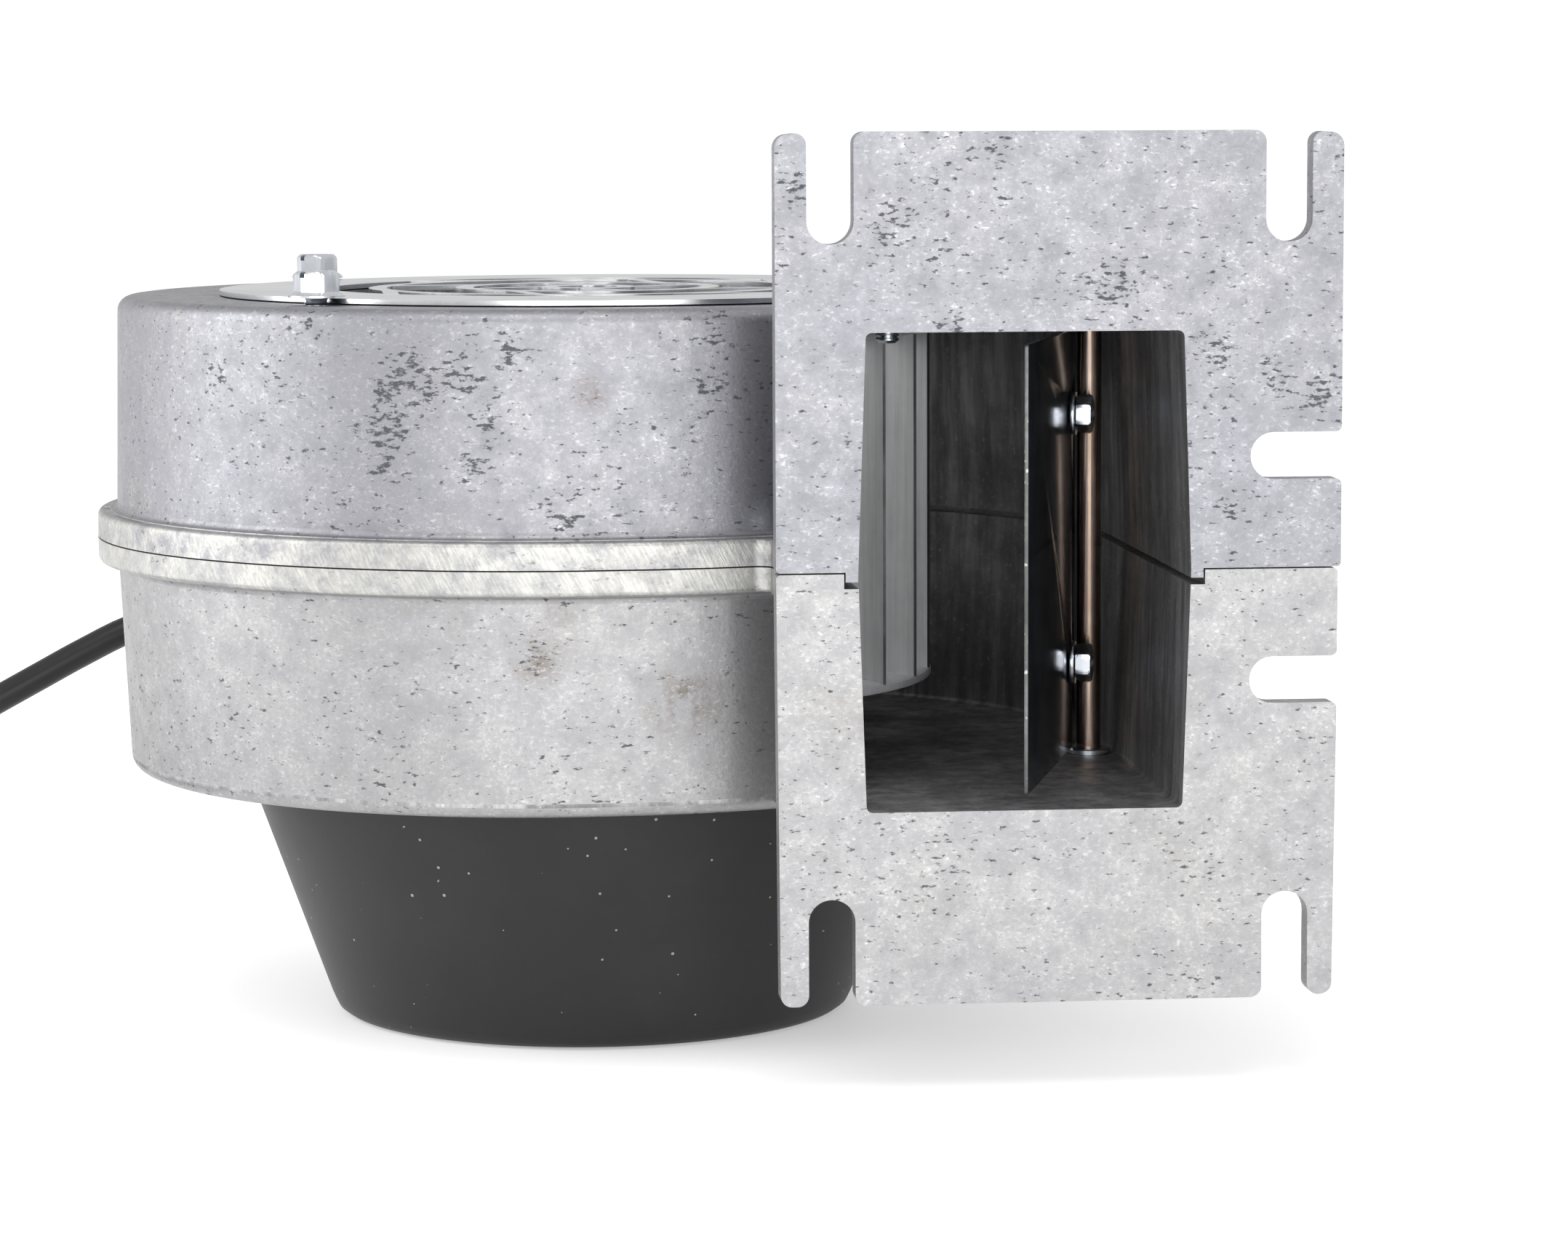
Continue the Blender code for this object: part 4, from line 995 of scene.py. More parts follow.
class FAN_OT_lead(bpy.types.Operator):
    """Make the strain relief, the mains lead with its coil, the tie and the plug"""

    bl_idname = "fan.lead"
    bl_label = "Mains lead"

    def execute(self, context):
        body, pins = self.plug()
        tie = self.tie()
        points = smooth_route(ROUTE_TO_COIL, 0.0125)
        points += coil_points()
        points += smooth_route(ROUTE_TO_PLUG, 0.010)
        curve = bpy.data.curves.new("mains_lead", "CURVE")
        curve.dimensions = "3D"
        curve.bevel_depth = CABLE_RADIUS
        curve.bevel_resolution = 5
        curve.use_fill_caps = True
        curve.resolution_u = 4
        spline = curve.splines.new("BEZIER")
        spline.bezier_points.add(len(points) - 1)
        for knot, point in zip(spline.bezier_points, points):
            knot.co = point
            knot.handle_left_type = knot.handle_right_type = "AUTO"
        lead = bpy.data.objects.new("mains_lead", curve)
        context.scene.collection.objects.link(lead)
        nodes = ("mains_cable", "mains_cable_tail", "cable_coil")
        finish_piece(lead, finish_for("black_cable"), "housing", nodes)
        self.gland()
        return {"FINISHED"}

    def plug(self):
        """A generic inline connector: ribbed neck, flat body, hood with three flat pins inside."""

        def outline(half_width, half_height, radius):
            signs = ((-1, -1), (1, -1), (1, 1), (-1, 1))
            return rounded([(a * half_width, b * half_height, radius) for a, b in signs], 6)

        shell = outline(0.0105, 0.0080, 0.0030)
        turns = [math.atan2(y, x) for x, y in shell]

        def ring(radius):
            return [(radius * math.cos(turn), radius * math.sin(turn)) for turn in turns]

        def between(a, b, share):
            return [(p[0] + (q[0] - p[0]) * share, p[1] + (q[1] - p[1]) * share) for p, q in zip(a, b)]

        levels = [(0.0, ring(0.0041))]
        for rib in range(5):
            low = 0.0015 + rib * 0.0034
            radius = 0.0044 + rib * 0.00026
            levels += [(low, ring(radius)), (low + 0.0018, ring(radius + 0.0001))]
            levels += [(low + 0.0020, ring(radius - 0.0009)), (low + 0.0030, ring(radius - 0.0008))]
        for share in (0.0, 0.12, 0.35, 0.65, 0.88, 1.0):
            levels.append((0.0190 + 0.0045 * share, between(ring(0.0057), shell, share)))
        hood = outline(0.0125, 0.0082, 0.0022)
        levels += [(0.0395, shell), (0.0402, between(shell, hood, 0.5)), (0.0412, hood)]
        levels += [(0.0594, hood), (0.0600, outline(0.0119, 0.0076, 0.0018))]
        body = object_from("mains_plug_body", loft(levels))
        well = outline(0.0108, 0.0065, 0.0016)
        combine(body, [object_from("well", loft([(0.0450, well), (0.0620, well)]))], "DIFFERENCE")
        grips = []
        for side in (-1, 1):
            for i in range(5):
                x0 = side * 0.0100
                groove = [(x0, -0.006), (x0 + side * 0.002, -0.006), (x0 + side * 0.002, 0.006), (x0, 0.006)]
                low = 0.0250 + i * 0.0026
                grips.append(object_from(f"grip_{side}_{i}", loft([(low, groove), (low + 0.0012, groove)])))
        combine(body, grips, "DIFFERENCE")
        soften(body, 0.0002, 2, 40.0)
        pins = []
        for x, y in ((-0.0055, -0.0012), (0.0055, -0.0012), (0.0, 0.0022)):
            pin = outline(0.0007, 0.0020, 0.0003)
            shifted = [(x + a, y + b) for a, b in pin]
            pins.append(object_from(f"pin_{x}", loft([(0.0440, shifted), (0.0585, shifted)])))
        pins = join("mains_plug_pins", pins)
        end, before = Vector(ROUTE_TO_PLUG[-1]), Vector(ROUTE_TO_PLUG[-2])
        way = (end - before).to_2d().normalized()
        placing = (
            Matrix.Translation((end.x + way.x * GAP * 2, end.y + way.y * GAP * 2, PLUG_HEIGHT))
            @ Matrix.Rotation(math.atan2(way.y, way.x) + math.pi / 2, 4, "Z")
            @ Matrix.Rotation(math.pi / 2, 4, "X")
        )
        body.data.transform(placing)
        pins.data.transform(placing)
        finish_piece(body, finish_for("black_rubber"), "housing", ("mains_plug",))
        finish_piece(pins, finish_for("zinc_plated_steel"), "housing")
        pins.name = "mains_plug_pins"
        return body, pins

    def tie(self):
        """A flat strap drawn tight round the coil's turns."""
        cores = [(0.0302, COIL_LOW), (0.0370, COIL_LOW), (0.0438, COIL_LOW), (0.0336, COIL_HIGH)]

        def hull(radius):
            cloud = [
                (x + radius * math.cos(math.tau * i / 24), z + radius * math.sin(math.tau * i / 24))
                for x, z in cores
                for i in range(24)
            ]
            return [cloud[i] for i in convex_hull_2d(cloud)]

        inner = hull(CABLE_RADIUS + 0.0001)
        bm = bmesh.new()
        middle = Vector((COIL_MIDDLE_RADIUS, 0.0065))
        rows = []
        for across, grow_by in ((-0.0024, 0.0), (-0.0024, 0.0008), (0.0024, 0.0008), (0.0024, 0.0)):
            row = []
            for point in inner:
                out = (Vector(point) - middle).normalized() * grow_by
                row.append(bm.verts.new((across, -point[0] - out.x, point[1] + out.y)))
            rows.append(row)
        count = len(inner)
        for a in range(4):
            b = (a + 1) % 4
            for i in range(count):
                j = (i + 1) % count
                bm.faces.new((rows[a][i], rows[a][j], rows[b][j], rows[b][i]))
        strap = object_from("coil_tie", bm, Matrix.Translation(COIL_CENTRE))
        soften(strap, 0.0002, 1, 50.0)
        return finish_piece(strap, finish_for("black_plastic"), "housing", ("cable_tie",))

    def gland(self):
        """The tapered, grooved strain relief."""
        profile = [(0.0, 0.0), (0.0058, 0.0), (0.0058, 0.0085), (0.0086, 0.0123), (0.0088, 0.0127)]
        profile += [(0.0088, 0.0148), (0.0086, 0.0151), (0.0072, 0.0154)]
        ribs = 6
        for i in range(ribs):
            low = 0.0164 + i * 0.0029
            radius = 0.0070 - i * 0.00040
            profile += [(radius - 0.0014, low - 0.0009), (radius - 0.0014, low)]
            profile += [(radius, low + 0.0001), (radius - 0.0002, low + 0.0018)]
        profile += [(0.0046, GLAND_LENGTH), (0.0, GLAND_LENGTH)]
        placing = (
            Matrix.Translation(
                (
                    GLAND_START * math.cos(CABLE_EXIT_TURN),
                    GLAND_START * math.sin(CABLE_EXIT_TURN),
                    CABLE_EXIT_HEIGHT,
                )
            )
            @ Matrix.Rotation(CABLE_EXIT_TURN, 4, "Z")
            @ Matrix.Rotation(math.pi / 2, 4, "Y")
        )
        gland = object_from("strain_relief", turned(profile, 48), placing)
        finish_piece(gland, finish_for("black_rubber"), "housing", ("cable_gland",))


# ---------------------------------------------------------------- casting


def scroll_radius(turn):
    """Inner wall radius after a turn in degrees, clockwise from the front."""
    left = max(1.0 - max(turn, 0.0) / SCROLL_TURN, 0.0)
    return DUCT_RIGHT - GROWTH * left**1.5


def scroll_outline(grow_by, nose, front, left=None):
    """Scroll and duct as one outline, offset outwards; nose rounds the corner between them."""
    steps = bpy.context.scene.fan_casting.steps
    side = DUCT_LEFT - grow_by if left is None else left
    base = FRONT_RADIUS + grow_by
    bend_x = side - nose
    bend_y = -math.sqrt((base + nose) ** 2 - bend_x**2)
    meet = math.degrees(math.atan2(bend_y, bend_x))
    points = [(side, front)]
    for i in range(11):
        angle = math.radians((meet + 180.0) * i / 10)
        points.append((bend_x + nose * math.cos(angle), bend_y + nose * math.sin(angle)))
    for i in range(1, steps + 1):
        turn = -90.0 - meet + (SCROLL_TURN + 90.0 + meet) * i / steps
        radius = scroll_radius(turn) + grow_by
        angle = math.radians(-90.0 - turn)
        points.append((radius * math.cos(angle), radius * math.sin(angle)))
    points.append((DUCT_RIGHT + grow_by, front))
    return points


def quarter(radius, steps=6):
    """(inset, distance from the end) pairs of a quarter round, from the side to the end."""
    for i in range(steps + 1):
        angle = math.pi / 2 * i / steps
        yield radius * (1.0 - math.cos(angle)), radius * (1.0 - math.sin(angle))


def edge_slot(x, mouth, end, width):
    """Corners of an open slot along Z from its mouth to its round end."""
    half = width / 2
    return (
        (x - half, mouth, SLOT_MOUTH_ROUND),
        (x - half, end, half * 0.98),
        (x + half, end, half * 0.98),
        (x + half, mouth, SLOT_MOUTH_ROUND),
    )


def side_slot(z, mouth, end, width):
    """Corners of the slot in the flange's right edge, from top to bottom."""
    half = width / 2
    return (
        (mouth, z + half, 0.0012),
        (end, z + half, half * 0.98),
        (end, z - half, half * 0.98),
        (mouth, z - half, 0.0012),
    )


def flange_corners(side, width):
    """Corners of a flange half: 1 the upper half, -1 the lower one."""
    edge = SEAM + side * GAP / 2
    if side > 0:
        prong = FLANGE_TOP - 0.0007
        return (
            (FLANGE_LEFT, edge, 0.0008),
            (FLANGE_LEFT, prong, 0.0026),
            *edge_slot(SLOT_LEFT, FLANGE_TOP, SLOT_TOP_END, width),
            *edge_slot(SLOT_RIGHT, FLANGE_TOP, SLOT_TOP_END, width),
            (FLANGE_RIGHT, prong, 0.0026),
            *side_slot(SEAM + SIDE_SLOT_RISE, FLANGE_RIGHT, SIDE_SLOT_END, width),
            (FLANGE_RIGHT, edge, 0.0008),
        )
    right = FLANGE_RIGHT - LOWER_FLANGE_INSET
    slots = [*edge_slot(SLOT_RIGHT, FLANGE_BOTTOM, SLOT_BOTTOM_END, width)][::-1]
    slots += [*edge_slot(SLOT_LEFT, FLANGE_BOTTOM, SLOT_BOTTOM_END, width)][::-1]
    return (
        (FLANGE_LEFT, edge, 0.0008),
        (right, edge, 0.0008),
        *side_slot(SEAM - SIDE_SLOT_RISE, right, SIDE_SLOT_END, width),
        (right - LOWER_FLANGE_INSET, FLANGE_BOTTOM + 0.0007, 0.0022),
        *slots,
        (FLANGE_LEFT + LOWER_FLANGE_INSET, FLANGE_BOTTOM, 0.0022),
    )


def flange_plate(name, corners):
    """A flange half between the flange's two faces."""
    outline = rounded(corners, 9)
    bm = loft([(0.0, outline), (FLANGE_THICKNESS, outline)])
    stand = Matrix(((1, 0, 0, 0), (0, 0, 1, FLANGE_FACE), (0, 1, 0, 0), (0, 0, 0, 1)))
    return object_from(name, bm, stand)


class FAN_OT_casting(bpy.types.Operator):
    """Make the two die-cast halves with their rim, flange, tongue and bosses"""

    bl_idname = "fan.casting"
    bl_label = "Casting"

    def execute(self, context):
        settings = context.scene.fan_casting
        metal = tuple(settings.metal)
        upper = self.half("upper_casting", 1, TOP, CEILING, UPPER_DRAFT)
        lower = self.half("lower_casting", -1, UNDERSIDE, FLOOR, LOWER_DRAFT)
        tools = [post("inlet", INLET_RADIUS, CEILING - 0.01, TOP + 0.01, (0.0, 0.0), 128)]
        for number, centre in enumerate(around(4, SCREW_CIRCLE)):
            tools.append(post(f"screw_hole_{number}", SCREW_HOLE_RADIUS, CEILING - 0.01, TOP + 0.01, centre))
        combine(upper, tools, "DIFFERENCE")
        bolts = list(enumerate(around(4, MOTOR_BOLT_CIRCLE)))
        combine(lower, [post(f"boss_{n}", 0.0055, FLOOR - 0.001, 0.0610, at) for n, at in bolts], "UNION")
        holes = [post(f"hole_{n}", 0.0024, 0.0400, 0.0590, at) for n, at in bolts]
        holes.append(post("shaft_hole", 0.0120, 0.0400, 0.0700, (0.0, 0.0), 64))
        combine(lower, holes, "DIFFERENCE")
        upper_skin = cast_metal(
            "cast_upper", metal, (0.385, 0.385, 0.385), 0.15, UPPER_PATCHES, UPPER_BROWN, (0.4, 0.2, 0.1)
        )
        # painted light: the lower half's skin is lighter and warmer than the upper's, standing in for the
        # floor's light on the lower parts; its stains and brown spots are real
        lower_skin_with_painted_light = cast_metal(
            "cast_lower",
            (0.425, 0.425, 0.435),
            (0.47, 0.463, 0.44),
            0.3,
            LOWER_PATCHES,
            LOWER_BROWN,
            (2.4, 1.2, 5.1),
        )
        halves = ((upper, "upper_shell", upper_skin), (lower, "lower_shell", lower_skin_with_painted_light))
        for item, replaced, skin in halves:
            item.data.materials.clear()
            for finish in (skin, finish_for("worn_edge"), finish_for("inner_skin")):
                item.data.materials.append(finish)
            # faces lining the duct get the inner skin, lighter than the outside: painted light
            for face in item.data.polygons:
                face.material_index = 2 if self.is_inside(face) else 0
            soften(item, settings.worn_edge, 2, 32.0, material=1)
            finish_piece(item, skin, "housing", (replaced,), degrees=50.0)
            even = item.modifiers.new("even", "WEIGHTED_NORMAL")
            even.keep_sharp = True
            bake(item)
        return {"FINISHED"}

    def is_inside(self, face):
        """Whether a face lines the air space, the duct or the inlet's throat."""
        x, y, z = face.center
        if abs(face.normal.z) > 0.9 and abs(z - SEAM) < 0.004:
            return False
        if z > CEILING + 0.0005:
            return math.hypot(x, y) < INLET_RADIUS + 0.0005 and z < TOP - 0.0002
        if z < FLOOR - 0.0005 or y < FLANGE_FACE + 0.0005:
            return False
        outline = scroll_outline(0.0008, NOSE_ROUND, FLANGE_FACE - 0.01)
        crossings = 0
        for (ax, ay), (bx, by) in zip(outline, outline[1:] + outline[:1]):
            if (ay > y) != (by > y) and x < ax + (bx - ax) * (y - ay) / (by - ay):
                crossings += 1
        return crossings % 2 == 1

    def half(self, name, side, far, cavity_end, draft):
        """One half of the scroll: 1 is the upper one, -1 the lower one."""
        settings = bpy.context.scene.fan_casting
        wall, rim_width, edge_round = settings.wall, settings.rim_width, settings.edge_round
        seam = SEAM + side * GAP / 2
        inside_flange = FLANGE_FACE + FLANGE_THICKNESS / 2
        beyond = FLANGE_FACE - 0.010

        def body(inset):
            return scroll_outline(wall - inset, NOSE_ROUND, inside_flange)

        def rim(inset):
            return scroll_outline(wall + rim_width - inset, NOSE_ROUND, inside_flange, RIM_LEFT + inset)

        def cavity(inset):
            return scroll_outline(-inset, NOSE_ROUND + inset, beyond)

        levels = [(seam, body(0.0))]
        for inset, left in quarter(edge_round):
            levels.append((far - side * left, body(draft + inset)))
        shell = object_from(name, loft(levels))

        rise = RIM_RISE if side > 0 else RIM_DROP
        levels = [(seam, rim(0.0))]
        for inset, left in quarter(0.0011, 4):
            levels.append((SEAM + side * (rise - left), rim(0.0001 + inset)))
        parts = [object_from(name + "_rim", loft(levels))]
        fillet = [(seam, body(-rim_width * 0.7))]
        for inset, left in quarter(0.0014, 4):
            fillet.append((SEAM + side * (rise + 0.0016 - 0.0014 + inset), body(draft * 0.1 - left)))
        parts.append(object_from(name + "_fillet", loft(fillet)))
        parts.append(flange_plate(name + "_flange", flange_corners(side, settings.slot_width)))
        for number, centre in enumerate(LUGS, 1):
            parts.append(post(f"{name}_lug_{number}", LUG_RADIUS, seam, SEAM + side * rise, centre))
        combine(shell, parts, "UNION")

        if side > 0:
            near = scroll_outline(-0.0005, NOSE_ROUND, FLANGE_FACE + 0.0001)
            away = scroll_outline(TONGUE_WIDTH, NOSE_ROUND, FLANGE_FACE + 0.0001)
            band = near + away[::-1]
            tongue = object_from(name + "_tongue", loft([(SEAM - TONGUE_DEPTH, band), (SEAM + 0.001, band)]))
            combine(shell, [tongue], "UNION")
        else:
            rebate = scroll_outline(TONGUE_WIDTH + GAP, NOSE_ROUND, beyond)
            low = SEAM - REBATE_DEPTH
            room = object_from(name + "_rebate", loft([(low, rebate), (SEAM + 0.005, rebate)]))
            combine(shell, [room], "DIFFERENCE")

        levels = [(SEAM - side * 0.004, cavity(0.0)), (seam, cavity(0.0))]
        for inset, left in quarter(CAVITY_CORNER, 4):
            levels.append((cavity_end - side * left, cavity(CAVITY_DRAFT + inset)))
        tools = [object_from(name + "_cavity", loft(levels))]
        for number, centre in enumerate(LUGS, 1):
            hole = post(f"{name}_lug_hole_{number}", LUG_HOLE_RADIUS, SEAM - 0.02, SEAM + 0.02, centre, 24)
            tools.append(hole)
        tools.append(post(name + "_bush_hole", 0.0043, cavity_end - 0.01, cavity_end + 0.01, HINGE[:2]))
        combine(shell, tools, "DIFFERENCE")
        return shell


# ---------------------------------------------------------------- screws


def hex_reach(across, angle):
    """How far a hexagon of a width across flats reaches at an angle."""
    return across / 2 / math.cos(angle % math.radians(60) - math.radians(30))


def hex_level(across, reach, count=72):
    """A hexagon's outline cut off by a circle of a radius."""
    points = []
    for i in range(count):
        angle = math.tau * i / count
        radius = min(hex_reach(across, angle), reach)
        points.append((radius * math.cos(angle), radius * math.sin(angle)))
    return points


def hex_screw(name, across, head, flange_radius, shank, length, slot=False):
    """A flange screw with a chamfered head and a thread, pointing down from its seat at height 0."""
    count = 72
    flange = 0.0011
    corner = across / math.sqrt(3.0)
    levels = [(-length, circle(shank * 0.7, count)), (-length + 0.0006, circle(shank, count))]
    pitch = 0.0008
    turns = max(int((length - 0.0012) / pitch), 0)
    for i in range(turns):
        low = -length + 0.0008 + i * pitch
        levels += [(low, circle(shank, count)), (low + pitch * 0.5, circle(shank * 0.84, count))]
    levels += [(0.0, circle(shank, count)), (0.0, circle(flange_radius, count))]
    levels += [(flange * 0.35, circle(flange_radius, count)), (flange, circle(corner * 1.02, count))]
    levels.append((flange, hex_level(across, corner, count)))
    for share in (0.0, 0.35, 0.7, 1.0):
        reach = corner - (corner - across * 0.46) * share
        levels.append((head - 0.0008 * (1.0 - share), hex_level(across, reach, count)))
    dish = across * 0.36
    levels += [(head, circle(dish, count)), (head - 0.0003, circle(dish * 0.9, count))]
    item = object_from(name, loft(levels))
    if slot:
        half = 0.0006
        cut = [(-0.01, -half), (0.01, -half), (0.01, half), (-0.01, half)]
        groove = object_from(name + "_groove", loft([(head - 0.0013, cut), (head + 0.001, cut)]))
        combine(item, [groove], "DIFFERENCE")
    shade(item, 30.0)
    return item


class FAN_OT_screws(bpy.types.Operator):
    """Make the screws of the guard, the casting and the cover"""

    bl_idname = "fan.screws"
    bl_label = "Screws"

    def execute(self, context):
        zinc = finish_for("zinc_plated_steel")
        high = GUARD_LOW + 0.0010 + GAP
        groups = (
            (
                "guard_screws",
                hex_screw("screw", 0.0080, 0.0052, 0.0056, 0.0024, 0.0100, True),
                [(*at, high) for at in around(4, SCREW_CIRCLE)],
                [f"guard_screw_{n}" for n in range(1, 5)],
            ),
            (
                "casting_screws",
                hex_screw("screw", 0.0070, 0.0046, 0.0054, 0.0023, 0.0150),
                [(*at, SEAM + RIM_RISE + GAP) for at in LUGS],
                [f"shell_screw_{n}" for n in range(1, 5)],
            ),
        )
        for seed, (name, screw, seats, nodes) in enumerate(groups, 3):
            made = seated_copies(name, screw, seats, seed, zinc)
            finish_piece(made, zinc, "housing", nodes, 30.0)

        screw = hex_screw("screw", 0.0055, 0.0027, 0.0036, 0.0015, 0.0047)
        screw.data.transform(Matrix.Rotation(math.pi, 4, "X"))
        seats = [(*at, 0.0040 - GAP) for at in around(3, COVER_SCREW_CIRCLE, 90.0)]
        made = seated_copies("cover_screws", screw, seats, 9, zinc)
        nodes = [f"cover_screw_{n}" for n in range(1, 4)]
        finish_piece(made, zinc, "housing", nodes, 30.0)
        return {"FINISHED"}


# ---------------------------------------------------------------- guard


class FAN_OT_guard(bpy.types.Operator):
    """Make the sheet guard with its rings and slanted bridges"""

    bl_idname = "fan.guard"
    bl_label = "Inlet guard"

    def execute(self, context):
        settings = context.scene.fan_guard
        steel = finish_for("bright_sheet_steel")
        low, high = GUARD_LOW, GUARD_LOW + settings.thickness
        profile = ring_profile(settings.opening, settings.radius, low, high)
        plate = object_from("guard_sheet", turned(profile, 160))
        parts = []
        for radius in GUARD_RINGS:
            profile = ring_profile(radius - settings.strip, radius, low, high)
            parts.append(object_from(f"ring_{radius}", turned(profile, 96)))
        edges = (settings.opening + settings.strip / 2, *GUARD_RINGS)
        for gap, (outside, inside) in enumerate(zip(edges, edges[1:])):
            inner = inside - settings.strip / 2
            outer = outside if gap == 0 else outside - settings.strip / 2
            arm = self.arm(inner, outer, math.radians(18.0 + 32.0 * gap), low, high)
            parts.append(turned_copies(f"arms_{gap}", arm, settings.arms, steel))
        combine(plate, parts, "UNION")
        plate.data.materials.clear()
        soften(plate, 0.00015, 1, 40.0)
        finish_piece(plate, steel, "housing", ("inlet_guard",), 40.0)
        return {"FINISHED"}

    def arm(self, inner, outer, first, low, high):
        """A bridge that leans clockwise as it runs inwards."""
        half = bpy.context.scene.fan_guard.strip * 0.42
        start = Vector((inner * math.cos(first), inner * math.sin(first)))
        turn = first + GUARD_ARM_LEAD
        end = Vector((outer * math.cos(turn), outer * math.sin(turn)))
        across = (end - start).normalized().orthogonal() * half
        outline = [tuple(p) for p in (start - across, end - across, end + across, start + across)]
        return object_from("arm", loft([(low, outline), (high, outline)]))


# ---------------------------------------------------------------- wheel


class FAN_OT_wheel(bpy.types.Operator):
    """Make the drum wheel and its hub"""

    bl_idname = "fan.wheel"
    bl_label = "Drum wheel"

    def execute(self, context):
        settings = context.scene.fan_wheel
        metal = finish_for("impeller_aluminium")
        low, high, sheet = WHEEL_BOTTOM, WHEEL_TOP, WHEEL_SHEET
        disc = ring_profile(HUB_RADIUS * 0.6, WHEEL_RADIUS, low, low + sheet, 0.0004)
        parts = [object_from("disc", turned(disc, 160))]
        rim = ring_profile(WHEEL_INNER_RADIUS - 0.001, WHEEL_RADIUS, high - sheet, high, 0.0004)
        parts.append(object_from("top_ring", turned(rim, 160)))
        blade = self.blade(settings, low + sheet * 0.6, high - sheet * 0.6)
        parts.append(turned_copies("blades", blade, settings.blades, metal))
        wheel = join("drum_wheel", parts)
        wheel.data.materials.clear()
        wheel.data.materials.append(metal)
        wheel.data.materials.append(finish_for("blade_tip_painted_shadow"))
        # the blades' tip faces between the rings get the near-black finish: painted shadow for the dark gap
        # behind each blade's edge
        for face in wheel.data.polygons:
            painted_shadow_tip = face.center.xy.length > WHEEL_RADIUS - 0.0004
            face.material_index = 1 if painted_shadow_tip and low + sheet < face.center.z < high - sheet else 0
        finish_piece(wheel, metal, "rotor", ("impeller",), 35.0)

        seat = low + sheet + GAP
        bore = SHAFT_RADIUS + GAP / 2
        profile = [(bore, seat), (HUB_RADIUS * 1.7 - 0.0004, seat), (HUB_RADIUS * 1.7, seat + 0.0004)]
        profile += [(HUB_RADIUS * 1.7, seat + 0.0022), (HUB_RADIUS * 1.7 - 0.0005, seat + 0.0025)]
        profile += [(HUB_RADIUS + 0.0010, seat + 0.0028), (HUB_RADIUS + 0.0002, seat + 0.0034)]
        profile += [(HUB_RADIUS, seat + 0.0045), (HUB_RADIUS, HUB_TOP - 0.001)]
        profile += [(HUB_RADIUS - 0.0003, HUB_TOP - 0.0003), (HUB_RADIUS - 0.001, HUB_TOP), (bore, HUB_TOP)]
        hub = object_from("wheel_hub", turned(profile, 72))
        finish_piece(hub, metal, "rotor", ("impeller_hub",), 35.0)
        return {"FINISHED"}

    def blade(self, settings, low, high):
        """A forward-curved blade that leaves the inner edge and bends clockwise."""
        bend = settings.blade_bend
        inner = Vector((WHEEL_INNER_RADIUS, 0.0))
        centre = inner + Vector((0.0, -bend))
        reach = WHEEL_RADIUS - 0.0001
        cosine = WHEEL_INNER_RADIUS**2 + 2 * bend**2 - reach**2
        span = math.acos(cosine / (2 * bend * math.hypot(WHEEL_INNER_RADIUS, bend)))
        span = abs(span - math.atan2(WHEEL_INNER_RADIUS, bend))
        outside, inside = [], []
        steps = 9
        for i in range(steps + 1):
            angle = math.pi / 2 - span * i / steps
            ray = Vector((math.cos(angle), math.sin(angle)))
            outside.append(centre + ray * bend)
            inside.append(centre + ray * (bend - settings.blade_thickness))
        outline = [tuple(p) for p in outside + inside[::-1]]
        turn = Matrix.Rotation(math.radians(settings.first_blade), 4, "Z")
        item = object_from("blade", loft([(low, outline), (high, outline)]), turn)
        shade(item, 40.0)
        return item


# ---------------------------------------------------------------- flap


